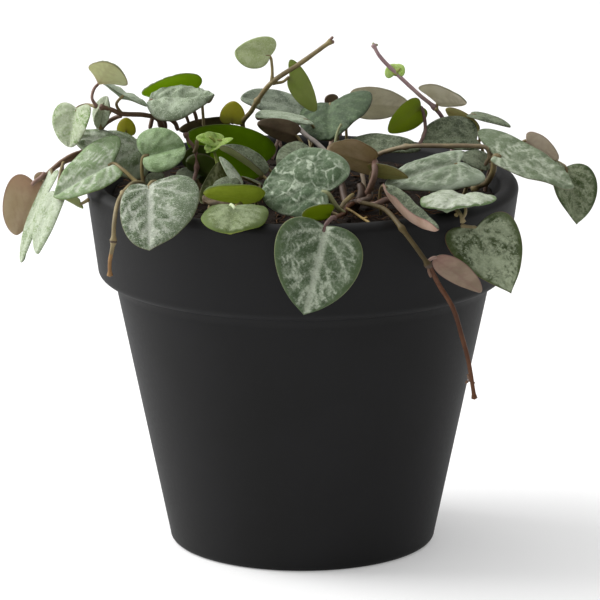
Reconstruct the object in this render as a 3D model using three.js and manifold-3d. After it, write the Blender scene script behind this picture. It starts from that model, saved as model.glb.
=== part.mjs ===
// A young string of hearts (Ceropegia woodii) in a plain flower pot.
// Millimetres, +Z up, the front is -Y. The origin is the centre of the pot's underside.

import * as THREE from 'three';
import { mergeVertices } from 'three/addons/utils/BufferGeometryUtils.js';
import Module from 'manifold-3d';

const wasm = await Module();
wasm.setup();

// ---------------------------------------------------------------- driving dimensions

const POT_HEIGHT = 85.9;
const RIM_TOP_RADIUS = 50;
const RIM_FOOT_RADIUS = 47.5;
const RIM_FOOT_HEIGHT = 63.35;
const BODY_TOP_RADIUS = 43.8;
const BASE_RADIUS = 30.7;
const BASE_FILLET = 1.5;
const RIM_FOOT_FILLET = 1.9;
const LIP_FILLET = 2.1;
const WALL = 4;
const FLOOR = 4.5;
const POT_SIDES = 36;

const DRAIN_HOLES = 4;
const DRAIN_RADIUS = 2.4;
const DRAIN_CIRCLE = 15;

const SOIL_HEIGHT = 81.4;
const SOIL_LUMP = 0.3;
const SOIL_RINGS = 4;

const GAP = 0.3; // left between pieces that touch

const STALK_RADIUS = 0.45;
const STALK_SIDES = 5;
const STALK_STEP = 4.2;
const STALK_INSERT = 1.3; // how far a stalk runs into its blade
const VINE_SIDES = 6;
const VINE_STEP = 4;

const BLADE_THICKNESS = 1.5;
const BLADE_RIM_THICKNESS = 0.6;
const BLADE_STEPS = 6;
const OUTLINE_EASE = 0.8; // under 1, the points of the outline crowd towards the lobes
const RIB_START = 0.05; // the midrib's ends, as shares of the blade's length
const RIB_END = 0.95;
const SMALL_BLADE_WIDTH = 9; // under this width a blade has one ring of facets a side, not two

// ---------------------------------------------------------------- solids

function solidOf(geometry) {
  const bare = geometry.index ? geometry.toNonIndexed() : geometry.clone();
  bare.deleteAttribute('normal');
  bare.deleteAttribute('uv');
  const merged = mergeVertices(bare, 1e-4);
  return new wasm.Manifold(
    new wasm.Mesh({
      numProp: 3,
      vertProperties: new Float32Array(merged.attributes.position.array),
      triVerts: new Uint32Array(merged.index.array),
    }),
  );
}

function geometryOf(solid) {
  const mesh = solid.getMesh();
  const geometry = new THREE.BufferGeometry();
  geometry.setAttribute('position', new THREE.BufferAttribute(mesh.vertProperties, 3));
  geometry.setIndex(new THREE.BufferAttribute(mesh.triVerts, 1));
  geometry.computeVertexNormals();
  return geometry;
}

function boxesMeet(a, b) {
  const boxA = a.boundingBox();
  const boxB = b.boundingBox();
  return [0, 1, 2].every((i) => boxA.min[i] < boxB.max[i] && boxB.min[i] < boxA.max[i]);
}

// The largest connected body that is left of a solid after its neighbours are cut away.
function cutClear(solid, neighbours) {
  let rest = solid;
  for (const neighbour of neighbours) {
    if (boxesMeet(rest, neighbour)) {
      rest = rest.subtract(neighbour);
    }
  }
  const bodies = rest.decompose();
  bodies.sort((a, b) => b.volume() - a.volume());
  return bodies[0];
}

function vectors(points) {
  return points.map((p) => new THREE.Vector3(...p));
}

function tube(points, radius, sides, step) {
  const path = new THREE.CatmullRomCurve3(vectors(points), false, 'centripetal');
  const section = new THREE.Shape();
  for (let i = 0; i < sides; i += 1) {
    const angle = (2 * Math.PI * i) / sides;
    const x = radius * Math.cos(angle);
    const y = radius * Math.sin(angle);
    if (i === 0) {
      section.moveTo(x, y);
    } else {
      section.lineTo(x, y);
    }
  }
  section.closePath();
  const steps = Math.max(2, Math.round(path.getLength() / step));
  return solidOf(new THREE.ExtrudeGeometry(section, { steps, extrudePath: path, bevelEnabled: false }));
}

// ---------------------------------------------------------------- pot and soil

// A profile of radii and heights, turned about the pot's axis, which is +Z.
function lathe(profile) {
  const geometry = new THREE.LatheGeometry(profile, POT_SIDES);
  return geometry.rotateX(Math.PI / 2);
}

// Radius of the pot's outer wall at a height, below the rim band.
function bodyRadius(z) {
  return BASE_RADIUS + ((BODY_TOP_RADIUS - BASE_RADIUS) * z) / RIM_FOOT_HEIGHT;
}

function innerRadius(z) {
  const rimInside = RIM_TOP_RADIUS - WALL;
  if (z <= RIM_FOOT_HEIGHT) {
    return bodyRadius(z) - WALL;
  }
  const share = (z - RIM_FOOT_HEIGHT) / (POT_HEIGHT - RIM_FOOT_HEIGHT);
  const start = BODY_TOP_RADIUS - WALL;
  return start + (rimInside - start) * share;
}

function arc(centreX, centreY, radius, from, to, steps) {
  const points = [];
  for (let i = 0; i <= steps; i += 1) {
    const angle = from + ((to - from) * i) / steps;
    const x = centreX + radius * Math.cos(angle);
    const y = centreY + radius * Math.sin(angle);
    points.push(new THREE.Vector2(x, y));
  }
  return points;
}

function potSolid() {
  const quarter = Math.PI / 2;
  const lipCentre = POT_HEIGHT - LIP_FILLET;
  const lipX = RIM_TOP_RADIUS - LIP_FILLET;
  const footCentre = RIM_FOOT_HEIGHT + RIM_FOOT_FILLET;
  const footX = RIM_FOOT_RADIUS - RIM_FOOT_FILLET;
  const profile = [
    new THREE.Vector2(0, 0),
    ...arc(bodyRadius(BASE_FILLET) - BASE_FILLET, BASE_FILLET, BASE_FILLET, -quarter, 0, 2),
    new THREE.Vector2(BODY_TOP_RADIUS, RIM_FOOT_HEIGHT),
    ...arc(footX, footCentre, RIM_FOOT_FILLET, -quarter, 0, 2),
    ...arc(lipX, lipCentre, LIP_FILLET, 0, 2 * quarter, 4),
    new THREE.Vector2(innerRadius(lipCentre - LIP_FILLET), lipCentre - LIP_FILLET),
    new THREE.Vector2(innerRadius(RIM_FOOT_HEIGHT), RIM_FOOT_HEIGHT),
    new THREE.Vector2(innerRadius(FLOOR), FLOOR),
    new THREE.Vector2(0, FLOOR),
  ];
  let pot = solidOf(lathe(profile));
  for (let i = 0; i < DRAIN_HOLES; i += 1) {
    const angle = (2 * Math.PI * (i + 0.5)) / DRAIN_HOLES;
    const hole = new THREE.CylinderGeometry(DRAIN_RADIUS, DRAIN_RADIUS, 3 * FLOOR, 10);
    hole.rotateX(Math.PI / 2);
    hole.translate(DRAIN_CIRCLE * Math.cos(angle), DRAIN_CIRCLE * Math.sin(angle), FLOOR / 2);
    pot = pot.subtract(solidOf(hole));
  }
  return pot;
}

// Gentle lumps of the soil's surface: three crossed waves, in millimetres about its mean height.
function soilLump(x, y) {
  const wave = (distance, length, start) => Math.sin((2 * Math.PI * distance) / length + start);
  return SOIL_LUMP * (wave(x, 20, 1.3) + wave(y, 23, -0.6) + wave(x - y, 33, 2.1));
}

function soilSolid() {
  const wall = (z) => innerRadius(z) - GAP;
  const foot = FLOOR + GAP;
  const profile = [
    new THREE.Vector2(0, foot),
    new THREE.Vector2(wall(foot), foot),
    new THREE.Vector2(wall(RIM_FOOT_HEIGHT), RIM_FOOT_HEIGHT),
    new THREE.Vector2(wall(SOIL_HEIGHT), SOIL_HEIGHT),
  ];
  for (let ring = SOIL_RINGS - 1; ring >= 0; ring -= 1) {
    profile.push(new THREE.Vector2((wall(SOIL_HEIGHT) * ring) / SOIL_RINGS, SOIL_HEIGHT));
  }
  const geometry = lathe(profile);
  const position = geometry.attributes.position;
  for (let i = 0; i < position.count; i += 1) {
    const x = position.getX(i);
    const y = position.getY(i);
    const inside = Math.hypot(x, y) < wall(SOIL_HEIGHT) - 1;
    if (inside && Math.abs(position.getZ(i) - SOIL_HEIGHT) < 1e-3) {
      position.setZ(i, SOIL_HEIGHT + soilLump(x, y));
    }
  }
  return solidOf(geometry);
}

// ---------------------------------------------------------------- leaf blades

const SHAPE = {
  fold: 10, // each half rises from the midrib by this many degrees
  cup: 15, // and bends back down by this much on its way to the rim
  droop: 15, // the blade bends down lengthwise by this much
  lobe: 0.45, // how far the two lobes reach back past the stalk
  point: 0.45, // how much wider the heart is near the stalk
  skew: 0, // one half wider than the other
  shear: 0, // one half further back than the other
};

function blade(base, tip, face, width, stalk, shape = {}) {
  return { base, tip, face, width, stalk, ...SHAPE, ...shape };
}

function radians(degrees) {
  return (degrees * Math.PI) / 180;
}

// Where a length r lands on a curve that starts at an angle and turns at a steady rate.
function bend(r, start, rate) {
  if (Math.abs(rate) < 1e-6) {
    return [r * Math.cos(start), r * Math.sin(start)];
  }
  const end = start + rate * r;
  return [(Math.sin(end) - Math.sin(start)) / rate, (Math.cos(start) - Math.cos(end)) / rate];
}

function widthNorm(point) {
  let most = 0;
  for (let i = 0; i <= 200; i += 1) {
    const t = (Math.PI * i) / 200;
    most = Math.max(most, Math.sin(t) * (1 + point * Math.cos(t)));
  }
  return most;
}

function bladeAxes(leaf) {
  const base = new THREE.Vector3(...leaf.base);
  const along = new THREE.Vector3(...leaf.tip).sub(base);
  const chord = along.length();
  along.normalize();
  const up = new THREE.Vector3(...leaf.face);
  up.addScaledVector(along, -up.dot(along)).normalize();
  const side = new THREE.Vector3().crossVectors(up, along);
  return { base, along, up, side, chord };
}

// Maps flat heart coordinates (x towards the tip, y to one side, z off the blade) into space.
function bladeMap(leaf) {
  const { base, along, up, side, chord } = bladeAxes(leaf);
  const droop = radians(leaf.droop);
  const length = (chord * (droop / 2)) / Math.sin(droop / 2);
  const [endX, endZ] = bend(length, 0, -droop / length);
  const level = -Math.atan2(endZ, endX);
  return {
    length,
    place(x, y, z) {
      const [flatY, rise] = bend(Math.abs(y), radians(leaf.fold), -radians(leaf.cup) / (leaf.width / 2));
      const [flatX, sink] = bend(x, 0, -droop / length);
      const angle = (-droop * x) / length;
      const height = rise + z;
      const px = flatX - Math.sin(angle) * height;
      const pz = sink + Math.cos(angle) * height;
      return base
        .clone()
        .addScaledVector(along, Math.cos(level) * px - Math.sin(level) * pz)
        .addScaledVector(side, Math.sign(y) * flatY)
        .addScaledVector(up, Math.sin(level) * px + Math.cos(level) * pz);
    },
  };
}

// A closed heart: an upper and a lower skin over the same outline, joined along the rim.
function bladeSolid(leaf, grow) {
  const { length, place } = bladeMap(leaf);
  const rings = leaf.width < SMALL_BLADE_WIDTH ? 1 : 2;
  const norm = widthNorm(leaf.point);
  const corner = (i, sideSign, ring, skin) => {
    const t = (Math.PI * i) / BLADE_STEPS;
    const run = (1 - Math.cos(Math.PI * (i / BLADE_STEPS) ** OUTLINE_EASE)) / 2;
    const back = leaf.lobe * Math.sin(t) * ((1 + Math.cos(t)) / 2) ** 2;
    const half = (leaf.width / 2 + grow) * (1 + sideSign * leaf.skew);
    const edgeX = length * (run - back) + grow * (2 * run - 1);
    const edgeY = (sideSign * half * Math.sin(t) * (1 + leaf.point * Math.cos(t))) / norm;
    const ribX = length * (RIB_START + (RIB_END - RIB_START) * run);
    const share = ring / rings;
    const y = share * edgeY;
    const x = ribX + share * (edgeX - ribX) + leaf.shear * y;
    const thick = BLADE_THICKNESS + (BLADE_RIM_THICKNESS - BLADE_THICKNESS) * share ** 2;
    return place(x, Math.abs(y) < 1e-6 ? 0 : y, skin * (thick / 2 + grow));
  };
  const triangles = [];
  const quad = (a, b, c, d) => triangles.push(a, b, c, a, c, d);
  for (const s of [1, -1]) {
    for (let i = 0; i < BLADE_STEPS; i += 1) {
      for (const skin of [1, -1]) {
        for (let k = 0; k < rings; k += 1) {
          const around = [
            corner(i, s, k, skin),
            corner(i + 1, s, k, skin),
            corner(i + 1, s, k + 1, skin),
            corner(i, s, k + 1, skin),
          ];
          quad(...(s * skin > 0 ? around : around.reverse()));
        }
      }
      const rim = [
        corner(i, s, rings, 1),
        corner(i + 1, s, rings, 1),
        corner(i + 1, s, rings, -1),
        corner(i, s, rings, -1),
      ];
      quad(...(s > 0 ? rim : rim.reverse()));
    }
  }
  const geometry = new THREE.BufferGeometry().setFromPoints(triangles);
  return solidOf(geometry);
}

// The stalk comes from its first point and ends a little way inside the blade.
function stalkSolid(leaf, grow) {
  const { base, along } = bladeAxes(leaf);
  const inside = base.clone().addScaledVector(along, STALK_INSERT);
  const points = [...leaf.stalk, leaf.base, inside.toArray()];
  return tube(points, STALK_RADIUS + grow, STALK_SIDES, STALK_STEP);
}

function leafSolid(blades, grow) {
  let solid = null;
  for (const leaf of blades) {
    const one = bladeSolid(leaf, grow).add(stalkSolid(leaf, grow));
    solid = solid ? solid.add(one) : one;
  }
  return solid;
}

// ---------------------------------------------------------------- vines

// Each vine is a list of branches; a branch is its radius and the points that it runs through.
const VINES = {
  vine_left: [
    [0.7, [-34, 3, 79], [-33, 7, 86], [-32.5, 9, 94], [-33.5, 8, 98], [-36.5, 6, 99.5], [-42, 3, 100.5],
      [-44.5, 1, 102], [-46.5, -0.4, 102.7]],
    [0.65, [-35.5, 0, 79.5], [-37.5, -0.5, 84.5], [-41, 4, 88], [-47, 4, 90.5], [-51, 2, 90.5],
      [-55.5, 0, 89.5], [-58.5, -1, 87.5], [-60, -2, 86.3]],
    [0.6, [-35, -4, 79.5], [-36, -6, 85], [-38, -14, 88], [-40, -26, 89], [-41.5, -40, 88.5],
      [-42, -46, 85.5], [-42.2, -46.8, 81.5], [-43, -47, 77], [-43, -46.8, 74]],
    [0.8, [-34.8, 4, 80.3], [-35.5, 0, 80.5], [-35, -5, 80.3]],
  ],
  vine_tall: [
    [0.7, [-9.5, 13, 83], [-11, 15, 85.5], [-13, 16, 91.5], [-14, 15, 95.5], [-12, 10, 99.5],
      [-10, 4, 104], [-7, 0, 108.5], [0, -1, 113.5], [6.5, -2, 118.5]],
  ],
  vine_right_tall: [
    [0.6, [36, 9, 79.5], [35.1, 11, 87.9], [34.6, 13, 93.3], [32.6, 13, 97.5], [30.5, 12, 100.3],
      [27.5, 11, 103], [22, 12, 108], [18, 13, 112], [16.5, 14, 114.5]],
  ],
  vine_right_arch: [
    [0.65, [14, -5, 79.5], [14.2, -2, 84.5], [14, 2, 87.5], [16.5, 4, 90], [22, 2, 92.5],
      [26.5, 0, 93.5], [33, 0, 93.5], [38.5, 0, 93.5], [42.5, 0, 93], [43.5, 0, 90.5]],
  ],
  vine_right_hang: [
    [0.65, [12, -8, 79.5], [12.5, -13, 83.5], [13.5, -22, 85], [16.5, -34, 87], [19, -44, 88],
      [22, -52, 86], [25, -52.5, 82], [28, -52, 77.5], [30.5, -50.5, 72.5], [33.5, -50.5, 67.5],
      [35.5, -50, 61], [37, -50, 55.5], [38.5, -50, 46.5]],
    [0.6, [12.6, -13.5, 83.4], [10.5, -22, 84.2], [9.5, -30, 84.5], [8, -40, 86], [7, -46, 87]],
  ],
  vine_rim_right: [
    [0.6, [30.5, -8, 79.5], [31, -13, 83], [31.5, -22, 84.5], [32.5, -29, 85.5], [33.5, -33.5, 87],
      [34.5, -37, 87], [35.5, -39, 86], [36, -39.5, 84.5]],
  ],
  vine_far_right: [
    [0.6, [42, 5, 79.5], [44, 6.5, 87.5], [47, 7.5, 91.5], [50, 7.5, 92.3]],
  ],
  vine_back_centre: [
    [0.65, [6, 34, 79.5], [7, 41, 86.5], [8, 48, 88], [9, 53, 85], [9.5, 53.5, 79]],
  ],
  vine_back_left: [
    [0.6, [-20, 34, 79.5], [-21, 40, 86.5], [-22.5, 45.5, 88], [-24, 49, 84.5], [-24.5, 49, 79]],
  ],
  shoot_brown: [
    [0.55, [-26, -1, 79.5], [-25.5, 0, 84], [-24.5, 2, 88], [-25, 2, 92.5], [-26.5, 2, 94.5],
      [-27, 2, 96]],
  ],
};

// ---------------------------------------------------------------- leaves

// A leaf node is a list of blades: a single leaf, or a pair whose stalks join at their foot.
const LEAVES = {
  // along the arching vine, upper left
  leaf_arch_tip_pair: [
    blade([-47, 1, 108], [-44, -5, 114], [0.25, 0.75, 0.6], 10.2,
      [[-47.5, -1, 103], [-48.5, -1, 105], [-48, 0, 107]],
      { fold: 0, cup: 25, lobe: -0.33, point: 0.1, skew: 0.17 }),
    blade([-52, -1, 102.5], [-53.5, -4, 94], [-0.5, -0.85, 0.2], 10.5,
      [[-47.6, -1, 103], [-50, 1, 103]], { fold: 25, lobe: 0.55 }),
  ],
  leaf_arch_edge: [
    blade([-41.5, 1, 105], [-41, 10, 103.5], [0.38, -0.12, 0.92], 12, [[-42, 3, 100.5], [-43, 2, 103]]),
  ],
  leaf_arch_side: [
    blade([-47.5, 4, 97], [-45, 1, 105], [-0.6, -0.75, 0.2], 5.4,
      [[-44.5, 1, 101.5], [-45.5, 3, 99]], { fold: 6, cup: 20, lobe: 0.1, skew: 0.1, shear: -0.2 }),
  ],
  leaf_arch_under: [
    blade([-41, 8, 94.5], [-41, 8, 98.5], [0.1, 0.95, 0.2], 4.6, [[-37, 11, 79.5], [-40, 13, 88]]),
  ],
  leaf_arch_back: [
    blade([-24.5, 14, 104.5], [-37.5, 12, 103.5], [-0.1, 0.65, 0.75], 12,
      [[-24, 12, 80], [-23, 14, 92]], { fold: 5, cup: 10, point: 0.6 }),
  ],
  leaf_arch_broad: [
    blade([-35.5, 8, 102.5], [-21, 4, 104], [0, -0.4, 0.92], 12.4,
      [[-33.5, 9, 98.5], [-34.5, 9, 101]],
      { fold: 24, lobe: 0.2, point: 0.35, cup: 46, droop: 10, shear: -0.1, skew: -0.35 }),
  ],
  // at the end of the far left vine
  leaf_far_left_pair: [
    blade([-62.1, 0, 84.8], [-66.6, -2, 72.8], [-0.35, 0.9, 0.1], 9.5,
      [[-60.6, -2, 86.1]], { skew: 0.3 }),
    blade([-59, -1, 86.5], [-62, 1, 85], [0, 0.8, 0.6], 4, [[-60.6, -2, 86.1], [-60, -1.2, 87]]),
  ],
  leaf_far_left_edge: [
    blade([-57.6, -4, 87.3], [-64.7, -10, 68.1], [-0.9, -0.35, 0.25], 7.5,
      [[-58.3, -1, 87.7], [-58, -3, 88.4]]),
  ],
  leaf_far_left_pale: [
    blade([-56.4, -14, 85], [-60.8, -20, 72.6], [-0.75, -0.6, 0.3], 8,
      [[-55.3, 0, 89.5], [-55.6, -7, 89.2]]),
  ],
  // crown on the left
  leaf_left_crown: [
    blade([-36.5, -7, 92.5], [-27, -7, 95], [0.05, -0.85, 0.5], 11.5,
      [[-33.5, -8, 79.5], [-36.7, -8, 87]],
      { fold: 34, droop: 18, skew: 0.05, shear: -0.1, cup: 44, lobe: 0.4, point: 0.25 }),
  ],
  leaf_left_folded: [
    blade([-36.5, 4, 91], [-52.5, -2, 95], [-0.1, -0.5, 0.86], 17,
      [[-31.5, 0, 79.5], [-34, 3, 87]], { fold: 0, cup: 50, droop: 45 }),
  ],
  leaf_left_streaked: [
    blade([-43.5, -10, 91.5], [-56.5, -17, 85.5], [-0.3, -0.75, 0.6], 13.4,
      [[-38, -13.8, 87.9], [-41, -12.5, 90.5]], { lobe: 0.7, point: 0.5, skew: -0.2, shear: 0.6 }),
  ],
  leaf_front_left_heart: [
    blade([-34.5, -37, 92], [-34, -51, 81.5], [0, -0.75, 0.65], 18,
      [[-30, -12, 79.5], [-33, -24, 90]], { point: 0.25, skew: 0.28, shear: -0.28 }),
  ],
  // crown in the middle
  leaf_centre_cupped: [
    blade([-9.5, 8, 87.5], [-27, 6, 94.5], [0.1, 0.75, 0.65], 19, [[-6, 9, 79.5], [-7, 8.5, 85]]),
  ],
  leaf_centre_folded: [
    blade([-9.5, -12, 89.5], [-19, -8, 95], [0.35, -0.42, 0.9], 8.5,
      [[-5, -13, 79.5], [-5.5, -13, 85]], { fold: 58, skew: 0.1 }),
  ],
  leaf_centre_dark: [
    blade([-21, -16, 84], [-19, -10, 92], [0.4, 0.8, 0.2], 7, [[-22, -18, 79.5]]),
  ],
  leaf_centre_behind: [
    blade([-0.5, -12, 90], [-2.5, -2, 94.5], [0, -0.6, 0.8], 10, [[1, -14, 79.5], [0.5, -14, 86]]),
  ],
  leaf_node_pair: [
    blade([-16.5, 14, 96], [-16, 15, 101], [0, 0.95, 0.3], 6, [[-14, 15, 95.5], [-15.5, 15, 96]]),
    blade([-17.5, 17, 95.5], [-29, 17, 93.5], [0.1, 0.9, 0.6], 6,
      [[-14, 15, 95.5], [-15.5, 16, 96]], { cup: 40 }),
  ],
  // over the front of the rim
  leaf_front_olive: [
    blade([-9.5, -31, 88], [-22, -37, 91], [0, 0.6, 0.8], 11.5,
      [[-10.5, -24, 85], [-10.5, -27, 86.5]], { cup: 10, fold: 6, lobe: 0.2 }),
  ],
  leaf_front_pale: [
    blade([-15, -41, 88.5], [-16, -54, 85.5], [0, -0.5, 0.85], 14.9,
      [[-14, -34, 87.5]], { shear: -0.15, fold: 8, lobe: 0.5, point: 0.15, skew: 0.04 }),
  ],
  leaf_front_round: [
    blade([5.5, -34, 90], [-7.5, -28, 92.5], [-0.1, -0.85, 0.5], 17.6,
      [[9, -31.5, 84.8], [7.5, -34, 87]], { point: 0.1, skew: -0.1, shear: 0.2, lobe: 0.65 }),
  ],
  leaf_front_small: [
    blade([6.2, -40.5, 87], [0, -42, 86.5], [0, 0.5, 0.85], 10, [[7.9, -40, 86.1]]),
  ],
  leaf_front_heart: [
    blade([5, -52, 86.5], [0.5, -55, 68], [0, -0.95, 0.3], 20.3,
      [[7, -46.5, 87], [6.4, -50, 87.8]], { fold: 18, shear: 0.05, lobe: 0.32, point: 0.5 }),
  ],
  // on the tall middle vine
  leaf_tall_pale: [
    blade([-7.5, 0, 114.5], [-15.5, -3, 116.5], [-0.1, -0.85, 0.5], 8.5,
      [[-7, 0, 108.8], [-7, 0, 112]], { lobe: 0.3, skew: -0.1, shear: 0.5 }),
  ],
  leaf_tall_green: [
    blade([-3, 1, 109.5], [3.5, -1, 102.5], [0.3, 0.9, 0.1], 6.8,
      [[-6.8, 0, 108.3], [-4.5, 1, 108.4]], { skew: -0.2, shear: 0.8 }),
  ],
  // behind the middle
  leaf_back_broad: [
    blade([6.5, 24, 98.5], [6.5, 9, 93], [-0.25, -0.36, 0.9], 18,
      [[9, 29, 79.5], [8, 29, 92]], { skew: 0.15, shear: -0.15, lobe: 0.6 }),
  ],
  leaf_back_pair: [
    blade([0.5, 24, 96.5], [-14.5, 18, 101], [-0.1, -0.6, 0.8], 9.5,
      [[2, 19, 79.5], [2, 19, 88], [1, 24.5, 93.5]]),
    blade([1, 12, 97], [-11, 8, 98.5], [0, -0.1, 1], 9, [[2, 19, 79.5], [2, 19, 88], [3, 14, 94]]),
  ],
  leaf_back_shaded: [
    blade([-1.5, 3, 95.4], [-10.5, 3, 98.1], [0, 0.9, 0.4], 6, [[1, 4, 79.5], [1, 3, 90.5]]),
  ],
  leaf_back_brown: [
    blade([12.6, 31, 96.9], [25.1, 27, 97.4], [0, 0.85, 0.5], 10.5,
      [[11.5, 34, 79.5], [10.5, 33.5, 92]]),
  ],
  // crown on the right
  leaf_crown_brown: [
    blade([16.4, -14, 92.9], [5.5, -11, 94.9], [0.1, 0.8, 0.6], 11,
      [[14.5, -15, 85], [15.5, -17, 87.5], [16.5, -18, 91], [16.5, -17, 92.5]]),
  ],
  leaf_crown_olive: [
    blade([16, -14, 90.5], [24, -19, 90.5], [0, 0.7, 0.7], 7, [[16, -10, 85.5], [15.5, -13, 88.5]]),
  ],
  leaf_right_green: [
    blade([27.5, 8, 101], [20, 6, 95.5], [-0.2, 0.9, 0.3], 7.5, [[27, 0, 93.6], [28.5, 6, 96.5]]),
  ],
  leaf_right_arched: [
    blade([31.5, 12.4, 101.2], [38, 8, 102], [0.1, 0.8, 0.6], 9,
      [[31.2, 11, 99.7], [31.3, 12.2, 100.2]], { skew: -0.6, shear: 0.35 }),
  ],
  leaf_right_thin_pair: [
    blade([40.5, 14, 94], [33.5, 16, 99], [0, 0.8, 0.6], 5.5,
      [[40, 17, 79.5], [40.5, 17, 88], [41.5, 15.5, 92]]),
    blade([39.5, 14.5, 97.8], [48.5, 10, 96], [0, -0.1, 1], 5.4,
      [[40, 17, 79.5], [40.5, 17, 88], [38.5, 18.5, 95]]),
  ],
  leaf_right_mottled: [
    blade([40.5, 8, 93], [27.5, 4, 93.5], [0, -0.6, 0.8], 11,
      [[40, 10.5, 79.5], [42.3, 9, 89]], { skew: -0.4 }),
  ],
  leaf_right_low: [
    blade([11, 10, 90.5], [27.5, 6, 91.5], [0, -0.55, 0.85], 7.4,
      [[8, 12, 79.5], [8.5, 11, 87]], { skew: 0.3 }),
  ],
  leaf_right_young: [
    blade([43, 3.5, 89], [36.5, 2, 90.5], [0, -0.6, 0.8], 6, [[43.4, 0, 91.5], [44.3, 2.2, 89.8]]),
  ],
  // over the right rim
  leaf_rim_broad: [
    blade([44.5, -2, 91.5], [62, -8, 86], [0.3, -0.55, 0.78], 12.8,
      [[39.5, 0, 83], [40.5, 0, 84], [42.5, -1, 85], [44, -2, 88]],
      { skew: 0.32, shear: -0.85, fold: 12, lobe: 0.55 }),
  ],
  leaf_far_right_pair: [
    blade([52, 6, 93.5], [59.5, 4, 89.5], [0.3, 0.8, 0.5], 7, [[50.5, 7.5, 92.3]]),
    blade([61, 2, 88], [63.5, 0, 75.5], [0.3, -0.9, 0.3], 12.8,
      [[50.5, 7.5, 92.3], [56, 6, 90], [60, 3.5, 88.5]], { fold: 38, point: 0.6, shear: 0.25 }),
  ],
  leaf_right_streaked: [
    blade([36, -8, 91], [19, -14, 87], [-0.1, -0.6, 0.8], 13,
      [[36, -5, 79.5], [38, -7, 87.5]], { lobe: 0.65, point: 0.55, shear: -0.2, skew: 0.25 }),
  ],
  leaf_front_right_folded: [
    blade([18.3, -33, 91.4], [30, -58, 87.2], [0.45, -0.5, 0.75], 8,
      [[18, -17, 79.5], [17.6, -25, 88]], { fold: 50, cup: 0, droop: -38, lobe: 0.1 }),
  ],
  leaf_silver: [
    blade([36.5, -29, 88], [32, -41, 87.5], [-0.15, -0.3, 0.94], 17.5,
      [[34.5, -38.5, 86], [35, -34.5, 86.5]], { lobe: 0.5, point: 0.3, fold: 14, cup: 30 }),
  ],
  leaf_hanging_heart: [
    blade([39, -36.5, 82.5], [46.5, -40.5, 69], [0.2, -0.93, 0.3], 16.8,
      [[35.6, -39.5, 83.7], [37.3, -39.3, 83.4]], { lobe: 0.55, point: 0.75, skew: 0.04, shear: 0.12 }),
  ],
  leaf_hanging_pink: [
    blade([29.5, -50.5, 79], [40, -44.5, 69.5], [0.1, 0.9, 0.4], 6.5,
      [[27.6, -52, 78], [28.5, -51.5, 78.9]], { lobe: 0.1 }),
  ],
  // behind the pot
  leaf_behind_centre_pair: [
    blade([8, 55, 76.5], [2, 57, 64.5], [0, 0.95, 0.3], 14, [[9.5, 53.6, 78.6], [9, 54.6, 77.5]]),
    blade([11.5, 55, 75], [18.5, 56, 63.5], [0.2, 0.95, 0.3], 13,
      [[9.5, 53.6, 78.6], [10.5, 54.6, 76.8]]),
  ],
  leaf_behind_left_pair: [
    blade([-26, 50, 76.5], [-33, 49, 65.5], [-0.3, 0.9, 0.3], 13,
      [[-24.5, 49.1, 78.6], [-25.2, 50, 77.5]]),
    blade([-23, 51, 75.5], [-18.5, 53, 64], [-0.1, 0.95, 0.3], 12,
      [[-24.5, 49.1, 78.6], [-23.9, 50.4, 77]]),
  ],
};

// The youngest shoot and its two unopened leaves grow as one piece.
const LIME_SHOOT = [0.45, [-18, -7, 79.5], [-18.5, -6, 85.5], [-19.5, -4, 89.5], [-20.5, -3, 93.5]];
const LIME_BLADES = [
  blade([-18.5, -4, 95.5], [-24.5, -5, 96.5], [0, -0.8, 0.6], 3.6,
      [[-20.4, -3.1, 93], [-19.4, -3.4, 94.6]]),
  blade([-22, -5, 93.7], [-16, -4, 96.2], [-0.2, -0.6, 0.8], 2.6, [[-20.4, -3.1, 93], [-21.4, -4, 93.2]]),
];

// ---------------------------------------------------------------- assembly

function vineSolid(branches, grow) {
  let solid = null;
  for (const [radius, ...points] of branches) {
    const branch = tube(points, radius + grow, VINE_SIDES, VINE_STEP);
    solid = solid ? solid.add(branch) : branch;
  }
  return solid;
}

const COLOURS = {
  pot: { color: 0x212122, roughness: 0.55 },
  soil: { color: 0x3a2a1e, roughness: 1 },
  vine: { color: 0x6b5540, roughness: 0.7 },
  leaf: { color: 0x7d957a, roughness: 0.6 },
};

const object = new THREE.Group();

function addPiece(name, solid, look) {
  const material = new THREE.MeshStandardMaterial({ metalness: 0, ...COLOURS[look] });
  const mesh = new THREE.Mesh(geometryOf(solid), material);
  mesh.name = name;
  object.add(mesh);
}

const growing = [
  ...Object.entries(VINES).map(([name, branches]) => ({
    name,
    look: 'vine',
    solid: vineSolid(branches, 0),
    clearance: vineSolid(branches, GAP),
  })),
  {
    name: 'shoot_lime',
    look: 'vine',
    solid: vineSolid([LIME_SHOOT], 0).add(leafSolid(LIME_BLADES, 0)),
    clearance: vineSolid([LIME_SHOOT], GAP).add(leafSolid(LIME_BLADES, GAP)),
  },
  ...Object.entries(LEAVES).map(([name, blades]) => ({
    name,
    look: 'leaf',
    solid: leafSolid(blades, 0),
    clearance: leafSolid(blades, GAP),
  })),
];

addPiece('pot', potSolid(), 'pot');
addPiece('soil', cutClear(soilSolid(), growing.map((piece) => piece.clearance)), 'soil');
growing.forEach((piece, index) => {
  const before = growing.slice(0, index).map((earlier) => earlier.clearance);
  addPiece(piece.name, cutClear(piece.solid, before), piece.look);
});

export default object;
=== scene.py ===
"""A young string of hearts in a plain charcoal flower pot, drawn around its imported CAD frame."""

import math

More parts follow.
